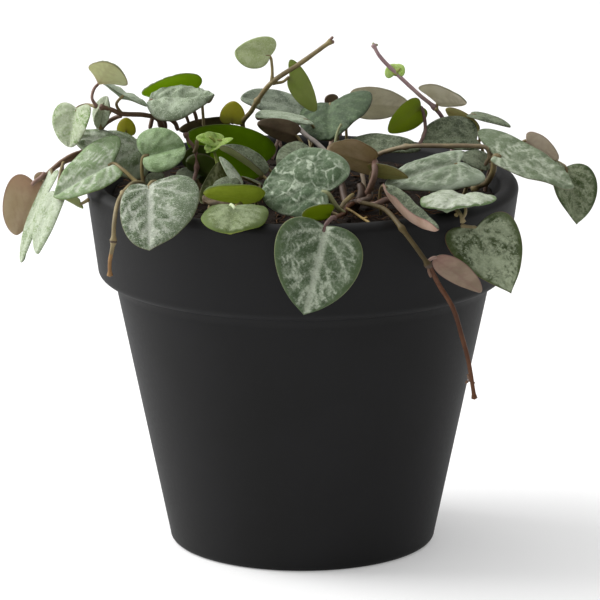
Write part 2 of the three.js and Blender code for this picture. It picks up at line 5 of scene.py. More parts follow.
import bmesh
import bpy
import numpy as np
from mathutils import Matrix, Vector


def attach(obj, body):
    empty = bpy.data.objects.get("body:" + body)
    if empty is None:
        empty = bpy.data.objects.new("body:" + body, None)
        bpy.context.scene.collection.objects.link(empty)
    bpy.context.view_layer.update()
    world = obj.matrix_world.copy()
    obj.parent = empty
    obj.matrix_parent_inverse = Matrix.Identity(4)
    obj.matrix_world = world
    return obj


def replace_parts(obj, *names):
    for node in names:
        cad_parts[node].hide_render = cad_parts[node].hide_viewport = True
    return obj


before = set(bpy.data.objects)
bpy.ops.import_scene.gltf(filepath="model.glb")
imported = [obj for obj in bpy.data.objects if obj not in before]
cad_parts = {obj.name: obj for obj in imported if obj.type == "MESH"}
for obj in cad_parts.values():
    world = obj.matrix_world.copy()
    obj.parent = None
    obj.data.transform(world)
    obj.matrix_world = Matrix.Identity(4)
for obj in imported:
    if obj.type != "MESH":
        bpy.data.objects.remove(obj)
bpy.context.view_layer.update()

MM = 0.001
TAU = 2 * math.pi
QUARTER = math.pi / 2

# ---- the pot and its soil, in millimetres
POT_HEIGHT = 85.9
RIM_TOP_RADIUS = 50.0
RIM_FOOT_RADIUS = 47.5
RIM_FOOT_HEIGHT = 63.35
BODY_TOP_RADIUS = 43.8
BASE_RADIUS = 30.7
BASE_FILLET = 1.5
RIM_FOOT_FILLET = 1.9
LIP_FILLET = 2.1
WALL = 4.0
FLOOR = 4.5
POT_SEGMENTS = 192
DRAIN_HOLES = 4
DRAIN_RADIUS = 2.4
DRAIN_CIRCLE = 15.0
DRAIN_ZONE = (9.0, 21.0)  # the radii between which the holes lie
DRAIN_SEGMENTS = 32
SOIL_HEIGHT = 81.4
SOIL_SEGMENTS, SOIL_RINGS = 260, 110
SOIL_SEED = 41
GAP = 0.3
WALL_RINGS = (FLOOR + GAP, 20.0, 40.0, RIM_FOOT_HEIGHT, 72.0, 78.0)  # heights of the plug's rings on its side
CRUMBS, CRUMB_SIZE, CRUMB_MARGIN = 420, (0.35, 1.25), 2.0
FIBRES, FIBRE_LENGTH, FIBRE_RADIUS, FIBRE_MARGIN = 460, (2.5, 8.0), (0.05, 0.13), 3.5
FIBRE_BENDS = 5
FIBRE_END_MARGIN = 0.8  # no bend of a fibre comes nearer to the pot's wall

# ---- the plant, in millimetres
RIB_START, RIB_END = 0.05, 0.95  # the part of a blade's length that its folded midrib takes up
THICKNESS, RIM_THICKNESS = 1.25, 0.62
FULL_WIDTH = 11.0  # narrower blades are thinner
FINE_WIDTH = 10.5  # blades from this width on have the finer mesh
FINE_MESH, COARSE_MESH = (46, 18), (26, 10)  # steps along the edge, rings from the midrib to the edge
NO_VEIN = 9.0  # the vein distance of a place without veins
MIDRIB_WIDTH, VEIN_WIDTH, FORK_WIDTH = 0.42, 0.3, 0.2  # what counts as one width away from each
# Where the side veins leave the midrib, in lengths, with their angle, and their reach in half widths.
SIDE_VEINS = ((0.05, 128, 0.8), (0.06, 88, 0.95), (0.1, 55, 1.1), (0.3, 52, 0.95), (0.5, 48, 0.7), (0.68, 42, 0.5))
FORKS = ((9, 0.6), (15, -0.65), (18, 0.5))  # the step of a side vein and the angle at which it forks
VEIN_STEPS, FORK_STEPS, MIDRIB_STEPS = 24, 10, 40
RELIEF, QUILT_WIDTH, CREASE_WIDTH = 0.26, 2.6, 0.8  # how far a blade bulges between its veins, and over what width
STEM_SHARE = 0.82  # of a CAD stem's radius, which keeps the round stem inside the six-sided one
NODE_PLACES = (0.0, 0.52, 1.0)  # where a vine swells, in its own length
NODE_SWELL, BAND_SWELL, NODE_HALF = 0.28, 0.42, 0.7  # extra radius at a node and at a banded one, half length
LEAF_SEED, VINE_SEED, TWIG_SEED, SMALL_SEED, BLADE_SEED = 1, 101, 201, 301, 1000

# ---- the camera, the lamp and the floor, in metres
CAMERA_PLACE = (0.0, -1.16512, 0.34407)
CAMERA_TILT = 76.15  # degrees from straight down
CAMERA_LENS = 309.25
CAMERA_SHIFT_X = -0.0042
KEY_PLACE, KEY_TARGET = (-0.95, 0.2, 0.75), (0.0, 0.0, 0.05)
KEY_SIZE, KEY_POWER = (0.8, 0.8), 13.0
SWEEP_HALF, SWEEP_FRONT, SWEEP_BACK, SWEEP_RADIUS, SWEEP_TOP = 4.0, -3.0, 6.0, 2.0, 6.0

# ---- the studio's sky, brightest overhead and at left
SKY_TOP = 0.85
SKY_LEFT = 1.5
SKY_FRONT = 0.1
SKY_BACK = 0.42


# ---- materials
def srgb(code):
    """A colour code such as #7d957a as linear values."""
    parts = [int(code[i : i + 2], 16) / 255 for i in (1, 3, 5)]
    return tuple(c / 12.92 if c < 0.04045 else ((c + 0.055) / 1.055) ** 2.4 for c in parts) + (1.0,)


class Tree:
    """A short way to write the nodes of a material or of the world."""

    def __init__(self, owner, output="OutputMaterial"):
        owner.use_nodes = True
        self.owner = owner
        self.nodes, self.links = owner.node_tree.nodes, owner.node_tree.links
        self.nodes.clear()
        self.out = self.add(output)

    def add(self, kind, inputs=None, **properties):
        """A node with its properties set. Each input gets a socket's link, a colour code's colour or a value."""
        n = self.nodes.new("ShaderNode" + kind)
        for key, value in properties.items():
            setattr(n, key, value)
        for key, value in (inputs or {}).items():
            if isinstance(value, bpy.types.NodeSocket):
                self.links.new(value, n.inputs[key])
            else:
                n.inputs[key].default_value = srgb(value) if isinstance(value, str) else value
        return n

    def node(self, kind, inputs=None, out=0, **properties):
        return self.add(kind, inputs, **properties).outputs[out]

    def finish(self, shader):
        self.links.new(shader, self.out.inputs[0])
        return self.owner

    def attribute(self, name):
        return self.node("Attribute", out="Fac", attribute_name=name)

    def uv(self, name):
        return self.node("UVMap", uv_map=name)

    def math(self, operation, a, b):
        return self.node("Math", {0: a, 1: b}, operation=operation)

    def times(self, a, b):
        return self.math("MULTIPLY", a, b)

    def ramp(self, value, slope, offset):
        """value * slope + offset"""
        return self.node("Math", {0: value, 1: slope, 2: offset}, operation="MULTIPLY_ADD")

    def step(self, value, low, high, start=0.0, end=1.0):
        """start below low and end above high, or the other way round, with soft shoulders."""
        if low > high:
            low, high, start, end = high, low, end, start
        inputs = {0: value, 1: low, 2: high, 3: start, 4: end}
        return self.node("MapRange", inputs, interpolation_type="SMOOTHSTEP")

    def mix(self, factor, a, b):
        return self.node("Mix", {0: factor, 6: a, 7: b}, out=2, data_type="RGBA")

    def noise(self, vector, scale, detail=2.0, roughness=0.5):
        return self.node("TexNoise", {"Vector": vector, "Scale": scale, "Detail": detail, "Roughness": roughness})

    def warp(self, vector, scale, amount):
        """The vector, pushed about by coloured noise."""
        color = self.node("TexNoise", {"Vector": vector, "Scale": scale, "Detail": 2.0}, out="Color")
        centred = self.node("VectorMath", {0: color, 1: (0.5, 0.5, 0.5)}, operation="SUBTRACT")
        scaled = self.node("VectorMath", {0: centred, "Scale": amount}, operation="SCALE")
        return self.node("VectorMath", {0: vector, 1: scaled}, operation="ADD")

    def bump(self, height, strength, distance):
        return self.node("Bump", {"Height": height, "Strength": strength, "Distance": distance})

    def skin(self, color, roughness, specular, **inputs):
        named = {"Base Color": color, "Roughness": roughness, "Specular IOR Level": specular, **inputs}
        return self.node("BsdfPrincipled", named)

    def thin(self, shader, color, share):
        """Lets part of the light through, as a leaf does."""
        return self.node("MixShader", {0: share, 1: shader, 2: self.node("BsdfTranslucent", {"Color": color})})


def top_material(t, field, light, vein, edge, silver=0.5, net=0.3, veins=0.5, patch=0.5, rim=None, rim_width=0.2,
                 cells=0.75, grain=1.0, stretch=1.0, rough=0.5, through=0.1, haze=0.0, lean=0.0, crisp=1.0,
                 soft=1.0, spine=0.0, glow="#7f9a3c"):
    """The upper side of a leaf. field is the dark colour between the veins, light the silver mottling, vein the
    palest lines and edge the outermost border. silver, net and veins say how much there is of each, and patch
    how coarse it is."""
    flat = t.node("Mapping", {"Vector": t.uv("grain"), "Scale": (1.0 / stretch, 1.0, 1.0)})
    place = t.warp(flat, 0.55, 1.1)
    across, from_vein = t.attribute("rim"), t.attribute("vein")
    aside = t.node("SeparateXYZ", {0: t.uv("leaf")}, out=1)
    # the mottling: noise in two sizes, leaning to the veins
    broad = t.noise(place, 0.5 - 0.28 * patch, 3.0, 0.6)
    fine = t.noise(place, 2.1 * grain, 6.0, 0.78)
    mottle = t.ramp(fine, 0.55, t.times(broad, 0.45))
    mottle = t.ramp(t.step(from_vein, 6.0, 0.0), 0.05, mottle)
    if lean:
        mottle = t.ramp(t.math("SUBTRACT", aside, 0.5), lean, mottle)
    level = 0.60 - 0.17 * silver
    silvery = t.step(mottle, level - 0.035 * soft, level + 0.045 * soft)
    # the veins, which fade here and there, and the net between them
    wobble = t.ramp(t.noise(place, 1.6, 4.0, 0.6), 3.4, -1.7)
    faded = t.step(t.noise(place, 0.35, 2.0), 0.3, 0.6)
    grainy = t.ramp(t.step(fine, 0.38, 0.56), 0.45, 0.55)
    near = t.step(t.math("ADD", from_vein, wobble), 2.2, 0.3)
    main = t.times(near, t.ramp(faded, 0.5 * veins, 0.5 * veins))
    cell = {"Vector": t.warp(flat, 0.9, 0.9), "Scale": cells}
    border = t.node("TexVoronoi", cell, out="Distance", feature="DISTANCE_TO_EDGE")
    ragged = t.ramp(fine, 0.18, t.math("ADD", border, -0.09))
    breaks = t.step(t.noise(place, 0.45, 2.0), 0.38, 0.62)
    lines = t.times(t.step(ragged, 0.14 / crisp, 0.02), t.times(breaks, net))
    # the colours, one over the other
    color = t.mix(t.step(t.noise(place, 0.22, 3.0), 0.3, 0.7), field, t.mix(0.25, field, light))
    color = t.mix(t.times(silvery, 0.32 + 0.58 * silver), color, light)
    color = t.mix(t.times(t.math("MAXIMUM", main, lines), grainy), color, vein)
    color = t.mix(t.times(t.step(fine, 0.53, 0.53 + 0.1 * soft), 0.2 + 0.6 * silver), color, vein)
    if spine:
        beside = t.step(t.math("ABSOLUTE", t.math("SUBTRACT", aside, 0.53), 0.0), 0.06, 0.01)
        color = t.mix(t.times(t.times(beside, grainy), spine), color, vein)
    if haze:
        color = t.mix(t.times(t.step(across, 0.62, 1.0), haze), color, light)
    if rim:
        wander = t.ramp(t.noise(place, 0.8, 3.0), 0.3, -0.15)
        border_mask = t.step(t.math("ADD", across, wander), 1.0 - rim_width, 1.0 - 0.3 * rim_width)
        color = t.mix(t.times(border_mask, 0.85), color, rim)
    color = t.mix(t.times(t.step(across, 0.97, 0.995), 0.7), color, edge)
    relief = t.ramp(fine, 0.9, t.times(border, 0.4))
    normal = t.bump(t.math("SUBTRACT", relief, t.times(main, 0.35)), 0.8, 0.0004)
    roughness = t.ramp(t.math("MAXIMUM", silvery, main), 0.14, rough - 0.02)
    shader = t.skin(color, roughness, 0.3, Normal=normal)
    return t.finish(t.thin(shader, t.mix(0.5, color, glow), through))


def under_material(t, field, light, edge, base=None, rough=0.55, through=0.5, glow=None, shine=0.4):
    """The underside of a leaf: a plain waxy skin, blotched field to light, with faint veins."""
    place = t.warp(t.uv("grain"), 0.5, 0.8)
    broad = t.step(t.noise(place, 0.22, 3.0, 0.6), 0.32, 0.68)
    fine = t.noise(place, 2.2, 4.0, 0.6)
    color = t.mix(broad, field, light)
    color = t.mix(t.times(fine, 0.22), color, light)
    if base:
        along = t.node("SeparateXYZ", {0: t.uv("leaf")})
        color = t.mix(t.times(t.step(along, 0.42, 0.02), 0.8), color, base)
    distance = t.math("ADD", t.attribute("vein"), t.times(fine, 0.8))
    color = t.mix(t.times(t.step(distance, 1.6, 0.5), 0.3), color, edge)
    color = t.mix(t.times(t.step(t.attribute("rim"), 0.9, 0.985), 0.85), color, edge)
    shader = t.skin(color, rough, shine, Normal=t.bump(fine, 0.2, 0.00025))
    return t.finish(t.thin(shader, glow or color, through))


def stem_material(t, old, young, blotch, shine=0.4):
    """Stems and stalks: patches from old to young skin, with fine lines of blotch along them."""
    place = t.uv("grain")
    lines = t.noise(t.node("Mapping", {"Vector": place, "Scale": (6.0, 0.35, 1.0)}), 1.6, 3.0, 0.6)
    color = t.mix(t.step(t.noise(place, 0.16, 3.0, 0.6), 0.36, 0.64), old, young)
    color = t.mix(t.times(t.step(lines, 0.5, 0.72), 0.45), color, blotch)
    shaded = t.ramp(t.noise(place, 1.1, 4.0), 0.7, t.times(lines, 0.5))
    return t.finish(t.skin(color, 0.55, shine, Normal=t.bump(shaded, 0.35, 0.0002)))


def recipe(make):
    """A way to note a material: its colours in the order that make takes them, and its other values by name."""
    return lambda colors, **values: (make, colors.split(), values)


top, under, stem = recipe(top_material), recipe(under_material), recipe(stem_material)
# Upper sides have the colours field, light, vein and edge, undersides field, light and edge, stems old, young
# and blotch.
LOOKS = {
    "network": top("#3f5835 #87997a #c6d2ba #8a9680", silver=0.08, net=0.95, veins=0.3, cells=0.31, haze=0.35,
        crisp=1.4, soft=1.2),
    "dark_veined": top("#374a2b #76866a #c4cdb8 #7b8156", silver=0.34, net=0.25, veins=0.8, rim="#425630",
        rim_width=0.24, cells=0.5, soft=1.6, spine=0.75),
    "patched": top("#2f3f12 #a8b394 #b6c0a2 #6f4a38", silver=0.52, net=0.15, veins=0.6, patch=1, rim="#3c4b18",
        rim_width=0.28, cells=0.4, grain=0.7, spine=0.35),
    "silver_bright": top("#8a9a78 #b4bfa4 #ccd4bd #8a8a68", silver=0.6, net=0.2, rough=0.42),
    "silver_leaning": top("#435832 #7e8e70 #dfe4d5 #6d6c4c", veins=0.7, cells=0.8, grain=1.7, lean=0.2, soft=0.6,
        spine=0.5),
    "silver_mottled": top("#4a5834 #9ea88f #bdc6ae #6d6c4c", silver=0.6, cells=0.8, grain=1.2),
    "green_veined": top("#869e70 #aabd98 #dfe6d5 #6f7a42", silver=0.2, net=0.35, veins=0.8, rim="#6f8a54",
        rim_width=0.1, cells=0.45, crisp=1.5, soft=2),
    "streaked": top("#5c6c4a #98a48c #c6ceb8 #6c6650", silver=0.36, net=0.35, veins=0.75, cells=0.4, stretch=1.5,
        soft=2.2),
    "green_streaked": top("#68785a #a2ae98 #ced6c2 #7f8a6a", silver=0.3, net=0.4, veins=0.55, cells=0.4,
        stretch=1.5, haze=0.7, soft=2.4),
    "silver_fine": top("#687858 #aebba2 #ccd6c0 #6b6d53", silver=0.6, net=0.2, veins=0.35, cells=1, grain=1.5),
    "silver_veined": top("#6c8254 #b2c2a4 #dee6d4 #74634c", net=0.4, veins=0.9, cells=0.5, grain=1.3, haze=0.85),
    "white_silver": top("#7c8a68 #bcc4b0 #dce0d4 #5f7a4a", silver=0.6, rim="#6a8450", rim_width=0.08, cells=0.5,
        grain=1.6, soft=1.6),
    "plain_green": top("#84a06c #b8d2a4 #d0e0be #6c7a52", silver=0.3, net=0.05, veins=0.2, grain=1.4),
    "sage": top("#b0c47c #d8e4b0 #e0e8c0 #6c7a4e", silver=0.35, veins=0.35, cells=0.6, grain=1.5, through=0.3),
    "blue_green": top("#37492e #677d5b #8c9e7b #4d4638", silver=0.25, net=0.05, veins=0.2, cells=0.6, grain=1.1),
    "grey_green": top("#6a7662 #a8b49e #bec8b4 #5f6a50", net=0.1, veins=0.3, grain=1.2),
    "dark_mottled": top("#333e24 #6f7a5e #9ba58a #5f5540", silver=0.42, net=0.45, veins=0.4, cells=0.6),
    "dark_patched": top("#38481f #8e9a78 #bec6a8 #6a4f3a", silver=0.34, patch=0.9, rim="#3a4c24", cells=0.5,
        soft=1.5),
    "spotted": top("#5e8424 #b2bc9e #d4dac4 #7c7c4c", silver=0.72, net=0.2, veins=0.4, patch=0.9, cells=0.5),
    "pale_green": top("#7c9062 #b8c2aa #d2d8c8 #6d8458", silver=0.6, net=0.25, veins=0.4, cells=0.7),
    "silver_green": top("#455236 #869378 #acb59b #6b5f46", silver=0.55, cells=0.6),
    "lime_mottled": top("#56662a #a6b48c #cfd8ba #6b7f2a", net=0.1, veins=0.2, rim="#62743a", rim_width=0.34,
        grain=1.8, through=0.25, soft=1.3),
    "lime": top("#a4d03c #dcf29c #e6f8ac #7fb42a", net=0.1, veins=0.2, grain=1.8, through=0.3),
    "thin_green": top("#526a34 #87977c #a5b295 #6b5f46", silver=0.4, cells=0.6, through=0.6, glow="#c6dc7c"),
    "thin_silver": top("#5d6f4c #93a088 #abb69f #6b5f46", silver=0.6, cells=0.6, through=0.6, glow="#d8d8c4"),
    "dry_top": top("#4c3e2c #7c6a50 #8c7c64 #4c3c28", veins=0.3),
    "purple": under("#7c6c55 #95856a #6d4f44", base="#846a54", through=0.15),
    "purple_dark": under("#5f5240 #7b6a52 #5f4a3c", through=0.15),
    "crown_brown": under("#967f6c #ac9682 #6c4c3c", base="#8a6e50", through=0.35, glow="#c0a878"),
    "pink_brown": under("#9e8c72 #b2a28c #84605a", base="#a47c6c", through=0.4, glow="#d0b094"),
    "pink_hanging": under("#796652 #8b7864 #74504a", base="#8a6a5c", through=0.15),
    "pink": under("#927866 #a48c7c #845e5a", through=0.12),
    "taupe": under("#beb29e #e6ded2 #74604f", glow="#e4d8c6"),
    "pale_olive": under("#b8bc8c #ccd0a4 #7c5c4c", base="#a0766a", glow="#e0dcac"),
    "cream": under("#98a068 #b6be8c #7c7c4c", base="#a4a878", glow="#dcd8b0"),
    "olive": under("#868050 #989262 #7a5238", base="#6f7038", through=0.3, glow="#c4bc78"),
    # painted shade: an olive underside made very dark and given little shine, so that a leaf the lamps light from
    # above looks shaded
    "dark_olive": under("#1f240a #2f3410 #6a6c50", rough=0.8, through=0.05, shine=0.1),
    "olive_green": under("#6c7438 #8c9254 #606040", glow="#bcc874"),
    "olive_warm": under("#9a9424 #b0a63c #7f5634", base="#748028", glow="#d8c840"),
    "rose_taupe": under("#b0a08c #c8bcae #94706a", through=0.4, glow="#dccaba"),
    "backlit_olive": under("#525c0c #646e18 #5a4628", glow="#98a424"),
    "green_pale": under("#7c8e70 #94a286 #6c785a", through=0.2),
    "backlit": under("#587008 #6c8410 #5a4628", through=0.55, glow="#a8c81c"),
    "backlit_dark": under("#587008 #6c8a12 #4c4430", glow="#9cc014"),
    "lime_under": under("#7e8e26 #b0bc50 #6a7034", through=0.45, glow="#c8cc60"),
    "lime_bright": under("#94cc24 #b8e050 #7cb028", through=0.3),
    "dry": under("#5c4c38 #7c6850 #54402c", through=0.1),
    "shade_green": under("#3a4c14 #52661e #564c38", through=0.3, glow="#7c9c1c"),
    "stem_olive": stem("#6e6040 #8a7c50 #4c3e2c"),
    "stem_brown": stem("#644a3a #7c6450 #4a3428"),
    "stem_purple": stem("#75584e #8f766a #5a403a"),
    "stem_lime": stem("#8a9444 #9cb052 #7c7840"),
    "stem_green": stem("#7c7c54 #949a70 #696446"),
    "stem_grey": stem("#6c6460 #888078 #544a48"),
    "stem_crown": stem("#4a3a2f #604e40 #342822"),
    "stem_dusky": stem("#4c3430 #66504a #382624"),
    "stem_pink": stem("#92767a #aa908e #7a5a56"),
    "stem_rose": stem("#664c40 #7e6658 #4c362e"),
    "stem_pale": stem("#a8b48c #c0caa6 #94a078"),
    "stem_arch": stem("#74644f #8c7e5e #5a463c"),
    "stem_dark": stem("#462612 #5a3822 #30190c", shine=0.25),
    "stem_tan": stem("#6e6244 #8a7c58 #564830"),
    # painted shade: a darker stem for the upper stretch of the hanging vine, where it faces the light from above
    "stem_shaded": stem("#3e341c #504428 #2a2012", shine=0.2),
    "stem_node": stem("#3c2e20 #4a3a28 #2c2018"),
    "stem_dry": stem("#7a5830 #a8864c #50341c"),
    "stem_straw": stem("#6a5424 #8c7438 #5c4420"),
}
MATERIALS = {}


def material(name):
    """The finished material of that name, made once."""
    if name not in MATERIALS:
        make, colors, values = LOOKS[name]
        MATERIALS[name] = make(Tree(bpy.data.materials.new("plant_" + name)), *colors, **values)
    return MATERIALS[name]


# ---- meshes
def shape(name, vertices, faces, materials=()):
    """A smooth mesh in the scene, from millimetres."""
    mesh = bpy.data.meshes.new(name)
    mesh.from_pydata((np.asarray(vertices, float) * MM).tolist(), [], [list(map(int, f)) for f in faces])
    for m in materials:
        mesh.materials.append(m)
    mesh.polygons.foreach_set("use_smooth", np.ones(len(mesh.polygons), bool))
    mesh.update()
    obj = bpy.data.objects.new(name, mesh)
    bpy.context.scene.collection.objects.link(obj)
    return obj


def piece(name, vertices, faces, materials, slot):
    """A shape that rides on the one body."""
    obj = shape(name, vertices, faces, materials)
    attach(obj, "root")
    return obj


def join_rings(rows):
    """Faces between neighbouring rings of vertex numbers. A ring of one number repeated closes the surface."""
    faces = []
    for low, high in zip(rows, rows[1:]):
        for k in range(len(low)):
            after = (k + 1) % len(low)
            face = list(dict.fromkeys([low[k], low[after], high[after], high[k]]))
            if len(face) > 2:
                faces.append(face)
    return faces


def skin_over(rings):
    """Vertices and faces of a surface through rings of points, in which a ring may be one point."""
    size = max(map(len, rings))
    starts = np.cumsum([0] + [len(ring) for ring in rings]).tolist()
    rows = [[s] * size if len(ring) == 1 else list(range(s, s + size)) for s, ring in zip(starts, rings)]
    return np.concatenate(rings), join_rings(rows)


def circle(radius, height, segments):
    """A ring of points about the pot's axis, or the one point on the axis."""
    a = TAU * np.arange(segments if radius > 1e-6 else 1) / segments
    return np.stack([radius * np.cos(a), radius * np.sin(a), np.full(len(a), height)], 1)


def turned(angle):
    """The matrix that turns flat points."""
    return np.array([[math.cos(angle), -math.sin(angle)], [math.sin(angle), math.cos(angle)]])


class Stack:
    """Collects the parts of one mesh, with the number of each face's material. For every vertex it holds what the
    shaders read: the place on the leaf, the place for noise, the distance from a vein and the share of the way
    from the midrib to the rim."""

    BLANK = {"leaf": (0.0, 0.0), "grain": (0.0, 0.0), "vein": NO_VEIN, "rim": 0.0}

    def __init__(self):
        self.vertices, self.faces, self.indices, self.count = [], [], [], 0
        self.values = {key: [] for key in self.BLANK}

    def add(self, vertices, faces, index, **values):
        n = len(vertices)
        self.vertices.append(np.asarray(vertices, float))
        self.faces.extend([[int(i) + self.count for i in f] for f in faces])
        self.indices.extend([index] * len(faces) if np.isscalar(index) else index)
        for key, blank in self.BLANK.items():
            self.values[key].append(np.full((n, *np.shape(blank)), values.get(key, blank), float))
        self.count += n

    def build(self, name, materials, slot):
        obj = piece(name, np.concatenate(self.vertices), self.faces, materials, slot)
        mesh = obj.data
        mesh.polygons.foreach_set("material_index", np.asarray(self.indices, np.int32))
        corner = np.zeros(len(mesh.loops), np.int32)
        mesh.loops.foreach_get("vertex_index", corner)
        for key, parts in self.values.items():
            table = np.concatenate(parts).astype(np.float32)
            if table.ndim == 2:
                mesh.uv_layers.new(name=key).data.foreach_set("uv", table[corner].ravel())
            else:
                mesh.attributes.new(key, "FLOAT", "POINT").data.foreach_set("value", table)
        mesh.update()
        return obj


def places(text):
    """Places in millimetres from a text such as "-47 1 108, -44 -5 114"."""
    return [tuple(map(float, place.split())) for place in text.split(",")]


def unit(v):
    v = np.asarray(v, float)
    return v / np.linalg.norm(v)


def lattice(key):
    """A value from 0 to 1 for each whole-number cell."""
    h = (key[..., 0] * 73856093) ^ (key[..., 1] * 19349663) ^ (key[..., 2] * 83492791)
    h = (h ^ (h >> 13)) * 1274126177
    return ((h ^ (h >> 16)) & 0xFFFF) / 65535.0


def noise(points, scale, seed=0):
    """Smooth value noise from -1 to 1 at an array of points in space."""
    p = np.asarray(points, float) / scale + seed * 17.31
    cell = np.floor(p).astype(np.int64)
    f = p - cell
    f = f * f * (3 - 2 * f)
    total = 0.0
    for corner in np.ndindex(2, 2, 2):
        weight = 1.0
        for axis, far in enumerate(corner):
            weight = weight * (f[..., axis] if far else 1 - f[..., axis])
        total = total + weight * lattice(cell + np.array(corner))
    return 2 * total - 1


def curve(points, spacing=0.5):
    """A centripetal spline through the points, sampled evenly enough for a tube."""
    p = np.asarray(points, float)
    if len(p) == 2:
        n = max(2, int(np.linalg.norm(p[1] - p[0]) / spacing))
        return p[0] + (p[1] - p[0]) * np.linspace(0, 1, n + 1)[:, None]
    p = np.vstack([2 * p[0] - p[1], p, 2 * p[-1] - p[-2]])
    out = []

    def between(t, start, end, a, b):
        return (end - t) / (end - start) * a + (t - start) / (end - start) * b

    for i in range(1, len(p) - 2):
        a, b, c, d = p[i - 1 : i + 3]
        t0 = 0.0
        t1 = t0 + max(np.linalg.norm(b - a), 1e-6) ** 0.5
        t2 = t1 + max(np.linalg.norm(c - b), 1e-6) ** 0.5
        t3 = t2 + max(np.linalg.norm(d - c), 1e-6) ** 0.5
        n = max(2, int(round(np.linalg.norm(c - b) / spacing)))
        for t in np.linspace(t1, t2, n, endpoint=False):
            first, middle, last = between(t, t0, t1, a, b), between(t, t1, t2, b, c), between(t, t2, t3, c, d)
            out.append(between(t, t1, t2, between(t, t0, t2, first, middle), between(t, t1, t3, middle, last)))
    out.append(p[-2])
    return np.array(out)


def arc_lengths(path):
    return np.concatenate([[0], np.cumsum(np.linalg.norm(np.diff(path, axis=0), axis=1))])


def tube(stack, path, radius, index, sides=10, knots=(), seed=0, rough=0.05, end=1.0, start=1.0, bands=()):
    """A round stem along a sampled path. knots are (place in mm, extra radius, half length) swellings, and bands
    are stretches (from, to, material) of another material, one of them painted shade."""
    s = arc_lengths(path)
    n = len(path)
    r = float(radius) * np.interp(s / s[-1], [0, 0.15, 0.85, 1], [start, 1, 1, end])
    for place, extra, half in knots:
        r += extra * np.exp(-(((s - place) / half) ** 2))
    tangent = np.gradient(path, axis=0)
    tangent /= np.linalg.norm(tangent, axis=1)[:, None]
    side = unit(np.cross(tangent[0], (0.3, 0.2, 1.0)))
    shift_x, shift_y = seed * 3.7, seed * 11.3  # another part of the noise for every stem
    vertices, leaf, grain = [], [], []
    for i in range(n):
        side = unit(side - tangent[i] * (side @ tangent[i]))
        other = np.cross(tangent[i], side)
        for k in range(sides):
            a = TAU * k / sides
            vertices.append(path[i] + (math.cos(a) * side + math.sin(a) * other) * r[i])
            leaf.append((k / sides, s[i] / s[-1]))
            grain.append((abs(k - sides / 2) / sides * 5 + shift_x, s[i] + shift_y))
    vertices = np.array(vertices)
    middle = np.repeat(path, sides, axis=0)
    swell = 1 + rough * noise(vertices, 1.3, seed) + 0.5 * rough * noise(vertices, 0.5, seed + 3)
    vertices = middle + (vertices - middle) * swell[:, None]
    faces = join_rings([range(i * sides, (i + 1) * sides) for i in range(n)])
    skins = [next((band for low, high, band in bands if low <= s[i] <= high), index)
             for i in range(n - 1) for _ in range(sides)]
    # a shallow cone closes each end
    vertices = np.vstack([vertices, path[0] - tangent[0] * r[0] * 0.5, path[-1] + tangent[-1] * r[-1] * 0.5])
    foot, tip = n * sides, n * sides + 1
    top_ring = (n - 1) * sides
    faces += [(foot, (k + 1) % sides, k) for k in range(sides)]
    faces += [(tip, top_ring + k, top_ring + (k + 1) % sides) for k in range(sides)]
    leaf += [(0.5, 0.0), (0.5, 1.0)]
    grain += [(shift_x, shift_y), (shift_x, s[-1] + shift_y)]
    skins += [skins[0]] * sides + [skins[-1]] * sides
    stack.add(vertices, faces, skins, leaf=leaf, grain=grain)


# ---- leaves
def bend(r, start, rate):
    """Where a length r lands on a curve that starts at an angle and turns at a steady rate."""
    if abs(rate) < 1e-6:
        return r * math.cos(start), r * math.sin(start)
    end = start + rate * r
    return (np.sin(end) - math.sin(start)) / rate, (math.cos(start) - np.cos(end)) / rate


